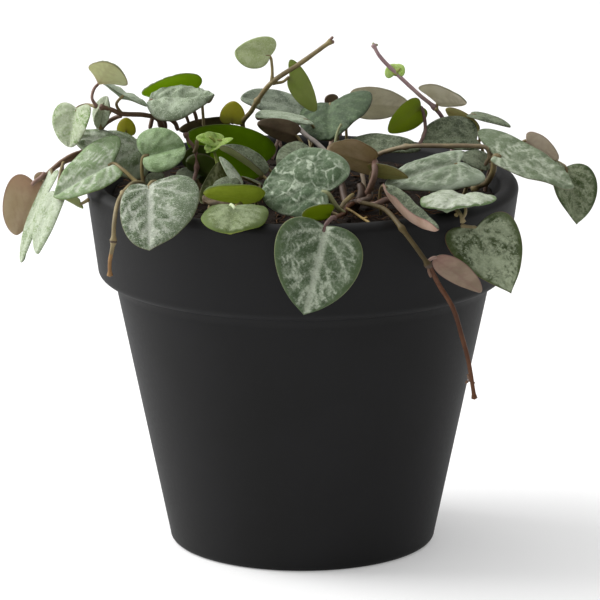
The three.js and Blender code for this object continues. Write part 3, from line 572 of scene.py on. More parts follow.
class Leaf:
    """One blade and its stalk, in millimetres and degrees. The blade is the same heart as in the CAD part, as a
    function from flat coordinates to space. midrib holds its two ends, face is where the upper side looks, looks
    names the materials above and under it, and stem the stalk's."""

    lobe, point, skew, shear, sharp = 0.45, 0.45, 0.0, 0.0, 0.0
    rough, crease, thick, stem = 1.0, 0.25, 0.36, "stem_olive"

    def __init__(self, name, midrib, face, width, stalk, looks, fold=10, cup=15, droop=15, **shape):
        vars(self).update(shape, name=name, width=width, stalk=places(stalk))
        self.top, self.under = looks.split()
        self.fold, self.cup, self.droop = math.radians(fold), math.radians(cup), math.radians(droop)
        self.soft = 0.45 if abs(fold) < 30 else 0.3  # half the width of the fold's rounded bottom
        self.base, tip = np.array(places(midrib))
        along = tip - self.base
        chord = np.linalg.norm(along)
        self.x = along / chord
        up = np.array(places(face)[0])
        self.z = unit(up - (up @ self.x) * self.x)
        self.y = np.cross(self.z, self.x)
        self.length = chord * (self.droop / 2) / math.sin(self.droop / 2)
        end_x, end_z = bend(self.length, 0.0, -self.droop / self.length)
        self.level = -math.atan2(end_z, end_x)

    def outline(self, t):
        """The edge of one half at angles t from base to tip, and the place on the midrib that each faces."""
        full = np.linspace(0, math.pi, 201)
        widest = (np.sin(full) * (1 + self.point * np.cos(full))).max()
        run = (1 - np.cos(math.pi * (t / math.pi) ** 0.8)) / 2
        x = self.length * (run - self.lobe * np.sin(t) * ((1 + np.cos(t)) / 2) ** 2)
        x = x + self.length * self.sharp * np.exp((t - math.pi) / 0.3)
        y = self.width / 2 * np.sin(t) * (1 + self.point * np.cos(t)) / widest
        return x, y, self.length * (RIB_START + (RIB_END - RIB_START) * run)

    def place(self, x, y, lift):
        """Where flat coordinates land in space, lifted off the blade's middle."""
        across, rise = bend(np.abs(y), self.fold, -self.cup / (self.width / 2))
        rise = rise - math.tan(self.fold) * self.soft * (1 - np.exp(-np.abs(y) / self.soft))
        flat, sink = bend(x, 0.0, -self.droop / self.length)
        angle = -self.droop * x / self.length
        px = flat - np.sin(angle) * (rise + lift)
        pz = sink + np.cos(angle) * (rise + lift)
        c, s = math.cos(self.level), math.sin(self.level)
        fore, up = c * px - s * pz, s * px + c * pz
        return (self.base + fore[..., None] * self.x + (np.sign(y) * across)[..., None] * self.y
                + up[..., None] * self.z)

    def veins(self, rng):
        """Lines of (points, width) in flat coordinates: the midrib, side veins that arch forward, and their
        forks."""
        midrib = np.stack([np.linspace(0.02, 0.96, MIDRIB_STEPS) * self.length, np.zeros(MIDRIB_STEPS)], 1)
        lines = [(midrib, MIDRIB_WIDTH)]
        for side in (1, -1):
            for start, angle, reach in SIDE_VEINS:
                heading = math.radians(angle + rng.uniform(-7, 7))
                run = reach * (self.width / 2) * rng.uniform(0.9, 1.1)
                turn = heading - 0.55 * np.linspace(0, 1, VEIN_STEPS)
                steps = np.stack([np.cos(turn), side * np.sin(turn)], 1) * run / VEIN_STEPS
                wander = np.cumsum(rng.normal(0, 0.05, (VEIN_STEPS, 2)), 0) * 0.35
                path = np.array([start * self.length, 0.0]) + np.cumsum(steps, 0) + wander
                lines.append((path, VEIN_WIDTH))
                for at, turn_by in FORKS:
                    b = turn[at] + turn_by * rng.uniform(0.7, 1.2)
                    reach_fork = 0.32 * run * rng.uniform(0.7, 1.2)
                    k = np.linspace(0, 1, FORK_STEPS)[:, None]
                    fork = path[at] + k * reach_fork * np.array([math.cos(b), side * math.sin(b)])
                    lines.append((fork + np.cumsum(rng.normal(0, 0.04, (FORK_STEPS, 2)), 0), FORK_WIDTH))
        return lines

    def blade(self, stack, indices, seed):
        """Adds a closed shell: two skins over one outline, meeting at a rounded rim."""
        rng = np.random.default_rng(BLADE_SEED + seed)
        steps, rings = FINE_MESH if self.width >= FINE_WIDTH else COARSE_MESH
        edge_x, edge_y, rib = self.outline(np.linspace(0, math.pi, steps + 1))
        share = (np.sin(np.linspace(0, math.pi / 2, rings + 1)) ** 0.9)[:, None]
        lines = self.veins(rng)
        thin = min(1.0, self.width / FULL_WIDTH)
        spin = turned(rng.uniform(0, TAU))
        shift = rng.uniform(-40, 40, 2)
        if "streaked" in self.top:
            spin = np.eye(2)  # streaks run along the leaf
        for side in (1, -1):
            y = share * (side * (1 + side * self.skew) * edge_y)[None, :]
            x = rib[None, :] + share * (edge_x - rib)[None, :] + self.shear * y
            flat = np.stack([x, y, np.full_like(x, seed * 3.1)], -1)
            distance = np.full(x.shape, NO_VEIN)
            for path, width in lines:
                for px, py in path:
                    distance = np.minimum(distance, np.hypot(x - px, y - py) / width)
            quilt = 1 - np.exp(-((distance / QUILT_WIDTH) ** 2))
            relief = 1.15 * quilt + 0.5 * noise(flat, 2.6, seed) + 0.28 * noise(flat, 1.1, seed + 5)
            relief = RELIEF * self.rough * thin * relief
            wave = thin * share * (0.7 * share * noise(flat, 5.0, seed + 9) + 0.45 * noise(flat, 8.0, seed + 13))
            taper = np.sqrt(np.clip(1 - share**7, 0, 1)) * np.ones_like(x)
            groove = self.crease * thin * np.exp(-((y / CREASE_WIDTH) ** 2)) * (1 - share)
            half = 0.5 * thin * (THICKNESS + (RIM_THICKNESS - THICKNESS) * share**2) * taper
            grid = np.arange(x.size).reshape(x.shape)
            corners = [g.ravel() for g in (grid[:-1, :-1], grid[:-1, 1:], grid[1:, 1:], grid[1:, :-1])]
            for skin in (1, -1):
                lift = wave + skin * half + relief * taper * (1.0 if skin > 0 else 0.45) - groove
                stack.add(
                    self.place(x, y, lift).reshape(-1, 3),
                    np.stack(corners[:: side * skin], 1),
                    indices[0] if skin > 0 else indices[1],
                    leaf=np.stack([x / self.length, 0.5 + y / self.width], -1).reshape(-1, 2),
                    grain=np.stack([x, y], -1).reshape(-1, 2) @ spin.T + shift,
                    vein=distance.ravel(),
                    rim=np.broadcast_to(share, x.shape).ravel(),
                )


def weld(obj, distance=0.00002):
    """Joins the seams of a mesh built in patches."""
    bm = bmesh.new()
    bm.from_mesh(obj.data)
    bmesh.ops.remove_doubles(bm, verts=bm.verts, dist=distance)
    bmesh.ops.dissolve_degenerate(bm, dist=1e-7, edges=bm.edges)
    bm.to_mesh(obj.data)
    bm.free()
    obj.data.update()


# ---- where everything grows, in millimetres
# A leaf has its name, base and tip, face, width, stalk, and the materials above and under it. Leaves in a row
# with one name are one node. The order of these tables sets the seeds.
LEAVES = [
    Leaf("leaf_arch_tip_pair", "-47 1 108, -44 -5 114", "0.25 0.75 0.6", 10.2,
         "-47.5 -1 103, -48.5 -1 105, -48 0 107", "thin_silver pale_olive", fold=0, cup=25, lobe=-0.33, point=0.1,
         skew=0.17, stem="stem_purple"),
    Leaf("leaf_arch_tip_pair", "-52 -1 102.5, -53.5 -4 94", "-0.5 -0.85 0.2", 10.5, "-47.6 -1 103, -50 1 103",
         "spotted purple", fold=25, lobe=0.55),
    Leaf("leaf_arch_edge", "-41.5 1 105, -41 10 103.5", "0.38 -0.12 0.92", 12, "-42 3 100.5, -43 2 103",
         "silver_fine green_pale"),
    Leaf("leaf_arch_side", "-47.5 4 97, -45 1 105", "-0.6 -0.75 0.2", 5.4, "-44.5 1 101.5, -45.5 3 99",
         "silver_bright olive", fold=6, cup=20, lobe=0.1, skew=0.1, shear=-0.2),
    Leaf("leaf_arch_under", "-41 8 94.5, -41 8 98.5", "0.1 0.95 0.2", 4.6, "-37 11 79.5, -40 13 88",
         "thin_green olive_warm"),
    Leaf("leaf_arch_back", "-24.5 14 104.5, -37.5 12 103.5", "-0.1 0.65 0.75", 12, "-24 12 80, -23 14 92",
         "thin_green backlit", fold=5, cup=10, point=0.6),
    Leaf("leaf_arch_broad", "-35.5 8 102.5, -21 4 104", "0 -0.4 0.92", 12.4, "-33.5 9 98.5, -34.5 9 101",
         "silver_fine purple", fold=24, cup=46, droop=10, lobe=0.2, point=0.35, skew=-0.35, shear=-0.1, rough=2.4,
         stem="stem_brown", sharp=0.05, crease=0.9),
    Leaf("leaf_far_left_pair", "-62.1 0 84.8, -66.6 -2 72.8", "-0.35 0.9 0.1", 9.5, "-60.6 -2 86.1",
         "thin_silver pink_brown", skew=0.3),
    Leaf("leaf_far_left_pair", "-59 -1 86.5, -62 1 85", "0 0.8 0.6", 4, "-60.6 -2 86.1, -60 -1.2 87",
         "thin_silver pink_brown"),
    Leaf("leaf_far_left_edge", "-57.6 -4 87.3, -64.7 -10 68.1", "-0.9 -0.35 0.25", 7.5,
         "-58.3 -1 87.7, -58 -3 88.4", "pale_green green_pale"),
    Leaf("leaf_far_left_pale", "-56.4 -14 85, -60.8 -20 72.6", "-0.75 -0.6 0.3", 8, "-55.3 0 89.5, -55.6 -7 89.2",
         "pale_green green_pale"),
    Leaf("leaf_left_crown", "-36.5 -7 92.5, -27 -7 95", "0.05 -0.85 0.5", 11.5, "-33.5 -8 79.5, -36.7 -8 87",
         "plain_green purple", fold=34, cup=44, droop=18, lobe=0.4, point=0.25, skew=0.05, shear=-0.1, rough=1.4,
         thick=0.45, crease=0.8),
    Leaf("leaf_left_folded", "-36.5 4 91, -52.5 -2 95", "-0.1 -0.5 0.86", 17, "-31.5 0 79.5, -34 3 87",
         "silver_veined purple", fold=0, cup=50, droop=45, rough=1.8, thick=0.45, crease=0.4),
    Leaf("leaf_left_streaked", "-43.5 -10 91.5, -56.5 -17 85.5", "-0.3 -0.75 0.6", 13.4,
         "-38 -13.8 87.9, -41 -12.5 90.5", "green_veined olive", lobe=0.7, point=0.5, skew=-0.2, shear=0.6,
         rough=0.9, thick=0.45, sharp=0.03, crease=0.7),
    Leaf("leaf_front_left_heart", "-34.5 -37 92, -34 -51 81.5", "0 -0.75 0.65", 18, "-30 -12 79.5, -33 -24 90",
         "silver_leaning purple", point=0.25, skew=0.28, shear=-0.28, rough=1.5, thick=0.45, sharp=0.05),
    Leaf("leaf_centre_cupped", "-9.5 8 87.5, -27 6 94.5", "0.1 0.75 0.65", 19, "-6 9 79.5, -7 8.5 85",
         "thin_green backlit_dark"),
    Leaf("leaf_centre_folded", "-9.5 -12 89.5, -19 -8 95", "0.35 -0.42 0.9", 8.5, "-5 -13 79.5, -5.5 -13 85",
         "dark_mottled cream", fold=58, skew=0.1, rough=1.5),
    Leaf("leaf_centre_dark", "-21 -16 84, -19 -10 92", "0.4 0.8 0.2", 7, "-22 -18 79.5",
         "silver_green dark_olive"),
    Leaf("leaf_centre_behind", "-0.5 -12 90, -2.5 -2 94.5", "0 -0.6 0.8", 10, "1 -14 79.5, 0.5 -14 86",
         "dark_mottled purple"),
    Leaf("leaf_node_pair", "-16.5 14 96, -16 15 101", "0 0.95 0.3", 6, "-14 15 95.5, -15.5 15 96",
         "thin_green olive_warm"),
    Leaf("leaf_node_pair", "-17.5 17 95.5, -29 17 93.5", "0.1 0.9 0.6", 6, "-14 15 95.5, -15.5 16 96",
         "silver_green purple_dark", cup=40),
    Leaf("leaf_front_olive", "-9.5 -31 88, -22 -37 91", "0 0.6 0.8", 11.5, "-10.5 -24 85, -10.5 -27 86.5",
         "thin_green lime_under", fold=6, cup=10, lobe=0.2),
    Leaf("leaf_front_pale", "-15 -41 88.5, -16 -54 85.5", "0 -0.5 0.85", 14.9, "-14 -34 87.5",
         "lime_mottled lime_under", fold=8, lobe=0.5, point=0.15, skew=0.04, shear=-0.15),
    Leaf("leaf_front_round", "5.5 -34 90, -7.5 -28 92.5", "-0.1 -0.85 0.5", 17.6, "9 -31.5 84.8, 7.5 -34 87",
         "network purple", lobe=0.65, point=0.1, skew=-0.1, shear=0.2, rough=1.3, stem="stem_green", thick=0.6,
         crease=0.4),
    Leaf("leaf_front_small", "6.2 -40.5 87, 0 -42 86.5", "0 0.5 0.85", 10, "7.9 -40 86.1",
         "thin_green backlit_olive"),
    Leaf("leaf_front_heart", "5 -52 86.5, 0.5 -55 68", "0 -0.95 0.3", 20.3, "7 -46.5 87, 6.4 -50 87.8",
         "dark_veined purple", fold=18, lobe=0.32, point=0.5, shear=0.05, rough=1.3, stem="stem_dusky", thick=0.5,
         sharp=0.06, crease=0.7),
    Leaf("leaf_tall_pale", "-7.5 0 114.5, -15.5 -3 116.5", "-0.1 -0.85 0.5", 8.5, "-7 0 108.8, -7 0 112",
         "sage purple", lobe=0.3, skew=-0.1, shear=0.5),
    Leaf("leaf_tall_green", "-3 1 109.5, 3.5 -1 102.5", "0.3 0.9 0.1", 6.8, "-6.8 0 108.3, -4.5 1 108.4",
         "thin_green olive_green", skew=-0.2, shear=0.8),
    Leaf("leaf_back_broad", "6.5 24 98.5, 6.5 9 93", "-0.25 -0.36 0.9", 18, "9 29 79.5, 8 29 92",
         "blue_green purple", lobe=0.6, skew=0.15, shear=-0.15, rough=1.3, crease=0.5),
    Leaf("leaf_back_pair", "0.5 24 96.5, -14.5 18 101", "-0.1 -0.6 0.8", 9.5, "2 19 79.5, 2 19 88, 1 24.5 93.5",
         "grey_green purple_dark"),
    Leaf("leaf_back_pair", "1 12 97, -11 8 98.5", "0 -0.1 1", 9, "2 19 79.5, 2 19 88, 3 14 94",
         "silver_fine purple_dark"),
    Leaf("leaf_back_shaded", "-1.5 3 95.4, -10.5 3 98.1", "0 0.9 0.4", 6, "1 4 79.5, 1 3 90.5",
         "silver_green purple_dark"),
    Leaf("leaf_back_brown", "12.6 31 96.9, 25.1 27 97.4", "0 0.85 0.5", 10.5, "11.5 34 79.5, 10.5 33.5 92",
         "thin_silver taupe"),
    Leaf("leaf_crown_brown", "16.4 -14 92.9, 5.5 -11 94.9", "0.1 0.8 0.6", 11,
         "14.5 -15 85, 15.5 -17 87.5, 16.5 -18 91, 16.5 -17 92.5", "thin_silver crown_brown", stem="stem_rose",
         thick=0.75),
    Leaf("leaf_crown_olive", "16 -14 90.5, 24 -19 90.5", "0 0.7 0.7", 7, "16 -10 85.5, 15.5 -13 88.5",
         "thin_silver olive"),
    Leaf("leaf_right_green", "27.5 8 101, 20 6 95.5", "-0.2 0.9 0.3", 7.5, "27 0 93.6, 28.5 6 96.5",
         "thin_green backlit_olive", stem="stem_dusky", thick=0.42),
    Leaf("leaf_right_arched", "31.5 12.4 101.2, 38 8 102", "0.1 0.8 0.6", 9, "31.2 11 99.7, 31.3 12.2 100.2",
         "thin_silver taupe", skew=-0.6, shear=0.35),
    Leaf("leaf_right_thin_pair", "40.5 14 94, 33.5 16 99", "0 0.8 0.6", 5.5,
         "40 17 79.5, 40.5 17 88, 41.5 15.5 92", "thin_silver olive"),
    Leaf("leaf_right_thin_pair", "39.5 14.5 97.8, 48.5 10 96", "0 -0.1 1", 5.4,
         "40 17 79.5, 40.5 17 88, 38.5 18.5 95", "dark_mottled olive", rough=0.5),
    Leaf("leaf_right_mottled", "40.5 8 93, 27.5 4 93.5", "0 -0.6 0.8", 11, "40 10.5 79.5, 42.3 9 89",
         "dark_mottled purple", skew=-0.4),
    Leaf("leaf_right_low", "11 10 90.5, 27.5 6 91.5", "0 -0.55 0.85", 7.4, "8 12 79.5, 8.5 11 87",
         "dark_mottled purple", skew=0.3),
    Leaf("leaf_right_young", "43 3.5 89, 36.5 2 90.5", "0 -0.6 0.8", 6, "43.4 0 91.5, 44.3 2.2 89.8",
         "silver_green olive"),
    Leaf("leaf_rim_broad", "44.5 -2 91.5, 62 -8 86", "0.3 -0.55 0.78", 12.8,
         "39.5 0 83, 40.5 0 84, 42.5 -1 85, 44 -2 88", "streaked purple", fold=12, lobe=0.55, skew=0.32,
         shear=-0.85, thick=0.75, sharp=0.03, crease=0.7),
    Leaf("leaf_far_right_pair", "52 6 93.5, 59.5 4 89.5", "0.3 0.8 0.5", 7, "50.5 7.5 92.3",
         "thin_silver rose_taupe"),
    Leaf("leaf_far_right_pair", "61 2 88, 63.5 0 75.5", "0.3 -0.9 0.3", 12.8,
         "50.5 7.5 92.3, 56 6 90, 60 3.5 88.5", "dark_patched purple", fold=38, point=0.6, shear=0.25, rough=1.5,
         sharp=0.05, crease=0.5),
    Leaf("leaf_right_streaked", "36 -8 91, 19 -14 87", "-0.1 -0.6 0.8", 13, "36 -5 79.5, 38 -7 87.5",
         "green_streaked purple", lobe=0.65, point=0.55, skew=0.25, shear=-0.2, rough=1.5, thick=0.45,
         crease=0.5),
    Leaf("leaf_front_right_folded", "18.3 -33 91.4, 30 -58 87.2", "0.45 -0.5 0.75", 8, "18 -17 79.5, 17.6 -25 88",
         "dark_mottled pink", fold=50, cup=0, droop=-38, lobe=0.1),
    Leaf("leaf_silver", "36.5 -29 88, 32 -41 87.5", "-0.15 -0.3 0.94", 17.5, "34.5 -38.5 86, 35 -34.5 86.5",
         "white_silver green_pale", fold=14, cup=30, lobe=0.5, point=0.3, rough=1.6),
    Leaf("leaf_hanging_heart", "39 -36.5 82.5, 46.5 -40.5 69", "0.2 -0.93 0.3", 16.8,
         "35.6 -39.5 83.7, 37.3 -39.3 83.4", "patched purple", lobe=0.55, point=0.75, skew=0.04, shear=0.12,
         rough=1.3, stem="stem_tan", sharp=0.05, crease=0.4),
    Leaf("leaf_hanging_pink", "29.5 -50.5 79, 40 -44.5 69.5", "0.1 0.9 0.4", 6.5, "27.6 -52 78, 28.5 -51.5 78.9",
         "silver_green pink_hanging", lobe=0.1, stem="stem_purple"),
    Leaf("leaf_behind_centre_pair", "8 55 76.5, 2 57 64.5", "0 0.95 0.3", 14, "9.5 53.6 78.6, 9 54.6 77.5",
         "dark_veined purple"),
    Leaf("leaf_behind_centre_pair", "11.5 55 75, 18.5 56 63.5", "0.2 0.95 0.3", 13,
         "9.5 53.6 78.6, 10.5 54.6 76.8", "silver_mottled purple"),
    Leaf("leaf_behind_left_pair", "-26 50 76.5, -33 49 65.5", "-0.3 0.9 0.3", 13,
         "-24.5 49.1 78.6, -25.2 50 77.5", "network purple"),
    Leaf("leaf_behind_left_pair", "-23 51 75.5, -18.5 53 64", "-0.1 0.95 0.3", 12,
         "-24.5 49.1 78.6, -23.9 50.4 77", "silver_veined purple"),
    Leaf("shoot_lime", "-18.5 -4 95.5, -24.5 -5 96.5", "0 -0.8 0.6", 3.6, "-20.4 -3.1 93, -19.4 -3.4 94.6",
         "lime lime_bright", rough=2.4, stem="stem_lime"),
    Leaf("shoot_lime", "-22 -5 93.7, -16 -4 96.2", "-0.2 -0.6 0.8", 2.6, "-20.4 -3.1 93, -21.4 -4 93.2",
         "lime lime_bright", rough=2.4, stem="stem_lime"),
]

# A branch has its radius, material and route.
VINES = {
    "vine_left": [
        (0.7, "stem_brown", "-34 3 79, -33 7 86, -32.5 9 94, -33.5 8 98, -36.5 6 99.5, -42 3 100.5, "
         "-44.5 1 102, -46.5 -0.4 102.7"),
        (0.65, "stem_brown", "-35.5 0 79.5, -37.5 -0.5 84.5, -41 4 88, -47 4 90.5, -51 2 90.5, -55.5 0 89.5, "
         "-58.5 -1 87.5, -60 -2 86.3"),
        (0.6, "stem_tan", "-35 -4 79.5, -36 -6 85, -38 -14 88, -40 -26 89, -41.5 -40 88.5, -42 -46 85.5, "
         "-42.2 -46.8 81.5, -43 -47 77, -43 -46.8 74"),
        (0.8, "stem_brown", "-34.8 4 80.3, -35.5 0 80.5, -35 -5 80.3"),
    ],
    "vine_tall": [(0.7, "stem_olive", "-9.5 13 83, -11 15 85.5, -13 16 91.5, -14 15 95.5, -12 10 99.5, "
        "-10 4 104, -7 0 108.5, 0 -1 113.5, 6.5 -2 118.5")],
    "vine_right_tall": [(0.6, "stem_pink", "36 9 79.5, 35.1 11 87.9, 34.6 13 93.3, 32.6 13 97.5, "
        "30.5 12 100.3, 27.5 11 103, 22 12 108, 18 13 112, 16.5 14 114.5")],
    "vine_right_arch": [(0.65, "stem_arch", "14 -5 79.5, 14.2 -2 84.5, 14 2 87.5, 16.5 4 90, 22 2 92.5, "
        "26.5 0 93.5, 33 0 93.5, 38.5 0 93.5, 42.5 0 93, 43.5 0 90.5")],
    "vine_right_hang": [
        (0.65, "stem_dark", "12 -8 79.5, 12.5 -13 83.5, 13.5 -22 85, 16.5 -34 87, 19 -44 88, 22 -52 86, "
         "25 -52.5 82, 28 -52 77.5, 30.5 -50.5 72.5, 33.5 -50.5 67.5, 35.5 -50 61, 37 -50 55.5, 38.5 -50 46.5"),
        (0.6, "stem_dark", "12.6 -13.5 83.4, 10.5 -22 84.2, 9.5 -30 84.5, 8 -40 86, 7 -46 87"),
    ],
    "vine_rim_right": [(0.6, "stem_tan", "30.5 -8 79.5, 31 -13 83, 31.5 -22 84.5, 32.5 -29 85.5, "
        "33.5 -33.5 87, 34.5 -37 87, 35.5 -39 86, 36 -39.5 84.5")],
    "vine_far_right": [(0.6, "stem_brown", "42 5 79.5, 44 6.5 87.5, 47 7.5 91.5, 50 7.5 92.3")],
    "vine_back_centre": [(0.65, "stem_brown", "6 34 79.5, 7 41 86.5, 8 48 88, 9 53 85, 9.5 53.5 79")],
    "vine_back_left": [(0.6, "stem_olive", "-20 34 79.5, -21 40 86.5, -22.5 45.5 88, -24 49 84.5, -24.5 49 79")],
    "shoot_brown": [(0.55, "stem_purple", "-26 -1 79.5, -25.5 0 84, -24.5 2 88, -25 2 92.5, -26.5 2 94.5, "
        "-27 2 96")],
    "shoot_lime": [(0.45, "stem_lime", "-18 -7 79.5, -18.5 -6 85.5, -19.5 -4 89.5, -20.5 -3 93.5")],
}
# Stretches of another material, one of them a stretch of painted shade: (branch, from, to, material), in
# millimetres along the branch.
BANDS = {
    "vine_left": [(2, 51.4, 52.2, "stem_node"), (2, 54.5, 62.0, "stem_dry")],
    "vine_right_hang": [(0, 0.0, 16.0, "stem_crown"), (0, 16.0, 57.4, "stem_shaded"), (0, 57.4, 58.2, "stem_node")],
}

# Fine details that the CAD part leaves out.
TWIGS = {
    "grey_stem": (0.55, "stem_grey", "-0.5 6 96, 1 4 95, 3 2 94, 5 0 92.5, 6 -2 91.5"),
    "petiole_a": (0.4, "stem_purple", "-7.5 16 96.5, -6 14 95, -5.5 12 93, -5 10 91"),
    "petiole_b": (0.45, "stem_purple", "-4 12 96.5, -4.5 11 94.5, -5.5 10 93, -6.5 8 90.5, -7 6 89"),
    "young_tip": (0.3, "stem_green", "9 3 98, 8.4 2.4 97, 8 2 96, 7.5 1 94"),
    "dry_twig": (0.28, "stem_straw", "10 -30 85.5, 11.5 -34 85.5, 13.5 -38 85, 15 -41 84.5, 14.5 -42 83.5"),
    "dry_twig2": (0.22, "stem_straw", "13.5 -38 85, 14.5 -39 85.5"),
    "left_petiole": (0.4, "stem_purple", "-55.5 0 89.5, -55.5 -1 88.5, -55.5 -2 87"),
    "left_second": (0.5, "stem_brown", "-51 3 91.5, -53.5 1 91, -55.5 0 90, -57.5 -1 88.5, -59.5 -2 87"),
    "under6_a": (0.5, "stem_brown", "-34.5 9 99.5, -35 8 98, -35.5 7.5 96"),
    "under6_b": (0.5, "stem_brown", "-32.5 10 98, -32 10 96.5, -32 10 95"),
    "under6_c": (0.55, "stem_brown", "-30.5 8 98, -29.5 8 97, -29 8 95.5"),
    "under6_d": (0.4, "stem_brown", "-27.5 9 99.5, -27 9 98.5, -26.5 9 97"),
    "under6_e": (0.45, "stem_brown", "-25.5 8 100.5, -25 8 99.5, -24.5 8 97.5"),
    "arch_second": (0.5, "stem_brown", "-42 3 100, -44 4 99, -46 4 97.5, -47 4 96"),
    "fork_a": (0.45, "stem_arch", "43 0 93, 43.5 1 91, 42.5 2 89, 42 2 88"),
    "silver_fork_b": (0.36, "stem_tan", "36.5 -38 88, 36.5 -39 86.5, 36 -39.5 85.5"),
    "crown_a": (1, "stem_crown", "11.5 -14 80.5, 12 -15 82.5, 13 -16 84.5, 13.5 -15 86.5, 13 -14 87.5"),
    "crown_b": (0.8, "stem_crown", "10 -14 82.5, 11.5 -16 83.5, 13.5 -18 84.5, 15 -18 85, 15.5 -14 85.5"),
    "crown_c": (0.8, "stem_crown", "8 -14 89.5, 9 -15 87.5, 9.5 -17 85.5, 10 -19 84, 9 -26 84"),
    "crown_d": (0.6, "stem_crown", "14.5 -12 85.5, 13.5 -15 85, 12 -17 83.5"),
    "centre_a": (0.5, "stem_olive", "8.5 -30 85.5, 9.5 -28 86.5, 10.5 -24 86.5, 11.5 -20 86.5"),
    "hang_stub": (0.32, "stem_brown", "28 -52 77.5, 28 -52.5 76.5, 28.5 -52.5 75"),
    "hang_tip_a": (0.3, "stem_brown", "37 -50 52, 37.5 -50 50.5, 38.5 -50 50"),
    "hang_tip_b": (0.3, "stem_brown", "37 -50 50.5, 36.5 -50 50"),
    "tall_bud_a": (0.35, "stem_purple", "6 -2 118, 6.5 -2 119, 7 -2 119.5"),
    "tall_bud_b": (0.3, "stem_purple", "6 -2 118.5, 7 -2 118.5, 7 -2 118"),
    "right_bud_a": (0.35, "stem_green", "16.5 14 114, 16.5 14 114.5, 16.5 14 115"),
    "right_bud_b": (0.3, "stem_green", "17 14 113.5, 17 14 114.5, 17.5 14 114.5"),
    "far_left_neck": (0.5, "stem_purple", "-59.5 -2 87.5, -60.5 -2.5 86.5, -62 -3 85.5, -62.5 -3 85"),
    "fork_b": (0.5, "stem_green", "39.5 0 85, 40 0 84.5, 40.5 0 83.5"),
    "shoot_side": (0.5, "stem_tan", "-25 2 91.5, -24.5 1.5 93, -24.5 1.5 94.5"),
    "shoot_tip": (0.35, "stem_rose", "-27 2 95, -27.5 2 96"),
    "bud_pale": (0.4, "stem_pale", "-16 -44 89.5, -15.5 -45 89.5, -15 -46 89"),
    "crown_e": (0.7, "stem_rose", "20.5 -22 86, 18.5 -24 86, 16.5 -26 85.5, 15 -24 85"),
}
SMALL_LEAVES = [
    Leaf("leaf_lime_left", "21.5 12 108, 20 13 110", "-0.3 -0.6 0.7", 4.2, "22 12 108", "lime lime_bright",
         stem="stem_lime"),
    Leaf("leaf_lime_right", "22 12 108.5, 23.5 12 110", "0.2 -0.7 0.7", 3.4, "22 12 108", "lime lime_bright",
         stem="stem_lime"),
    Leaf("leaf_shaded_low", "-22.5 6 88.5, -28 5 90", "0 0.9 0.4", 8, "-21.5 4 86.5", "silver_green shade_green"),
    Leaf("leaf_shaded_left", "-21 2 86, -27 3 89.5", "0.1 0.8 0.5", 9, "-20.5 0 84", "silver_green shade_green"),
    Leaf("leaf_sliver", "-14.5 -15 88, -19 -12 93.5", "0.5 -0.5 0.7", 3.6, "-14 -15 86.5", "silver_veined olive"),
    Leaf("leaf_edge_small", "-10 -10 86.5, -14 -8 88", "0 0.3 0.95", 6, "-10 -12 86", "dark_mottled olive"),
    Leaf("leaf_crown_small", "-33 -4 85.5, -36 -3 87", "0 -0.7 0.7", 5.5, "-32.5 -4 84",
         "dark_mottled purple_dark"),
    Leaf("leaf_back_small", "7.5 30 97.5, 5.5 30 99", "0 0.85 0.5", 4.5, "9 30 96", "silver_green purple_dark"),
    Leaf("leaf_left_under", "-51 -12 82.5, -55.5 -10 84", "-0.2 0.6 0.7", 7, "-49 -12 83.5",
         "thin_green olive_green"),
    Leaf("leaf_arch_side_small", "-47 3 97, -45 2 104", "0.6 -0.75 0.2", 4, "-46.5 3 97.5", "silver_bright olive",
         fold=4, lobe=0.1, skew=0.2),
    Leaf("leaf_lime_low", "-20 -4 94.5, -22.5 -6 94", "0.1 -0.8 0.5", 2.8, "-20 -3 93.5", "lime lime_bright",
         cup=40, rough=2.4, stem="stem_lime"),
    Leaf("leaf_lime_curl", "-20.5 -5 96, -22.5 -5 97.5", "-0.2 -0.7 0.6", 3, "-20 -4 94", "lime lime_bright",
         cup=-40, rough=2.6, stem="stem_lime"),
    Leaf("leaf_dry", "-17.5 -26 86.5, -22.5 -30 87", "0 -0.5 0.85", 6.5, "-16.5 -26 86.5", "dry_top dry", cup=50,
         rough=2),
    Leaf("leaf_deep_centre", "-16 -18 87, -20 -16 88.5", "-0.1 -0.5 0.85", 8, "-15 -20 86",
         "dark_mottled shade_green"),
    Leaf("leaf_deep_left", "-24.5 2 85, -29 4 86.5", "0 -0.2 0.95", 9, "-24 2 83", "dark_mottled purple_dark"),
]


# ---- build the plant
def leaf_piece(name, leaves, seed):
    """Leaves with their stalks, and with the vine of the same name if there is one."""
    stack = Stack()
    looks = []

    def number(look):
        """The look's place among this piece's materials."""
        if look not in looks:
            looks.append(look)
        return looks.index(look)

    for i, (radius, stem_look, route) in enumerate(VINES.get(name, [])):
        tube(stack, curve(places(route)), STEM_SHARE * radius, number(stem_look), seed=seed + i, end=0.8)
    for i, leaf in enumerate(leaves):
        own = seed * 7 + i
        leaf.blade(stack, (number(leaf.top), number(leaf.under)), own)
        inside = leaf.base + leaf.x * 1.2 + leaf.z * 0.1
        tube(stack, curve(leaf.stalk + [leaf.base, inside], 0.45), leaf.thick, number(leaf.stem), sides=8, seed=own,
             start=1.15, end=0.9, knots=((0.0, 0.12, 1.0),))
    obj = stack.build(name + "_grown", [material(look) for look in looks], "leaf")
    weld(obj)
    return obj


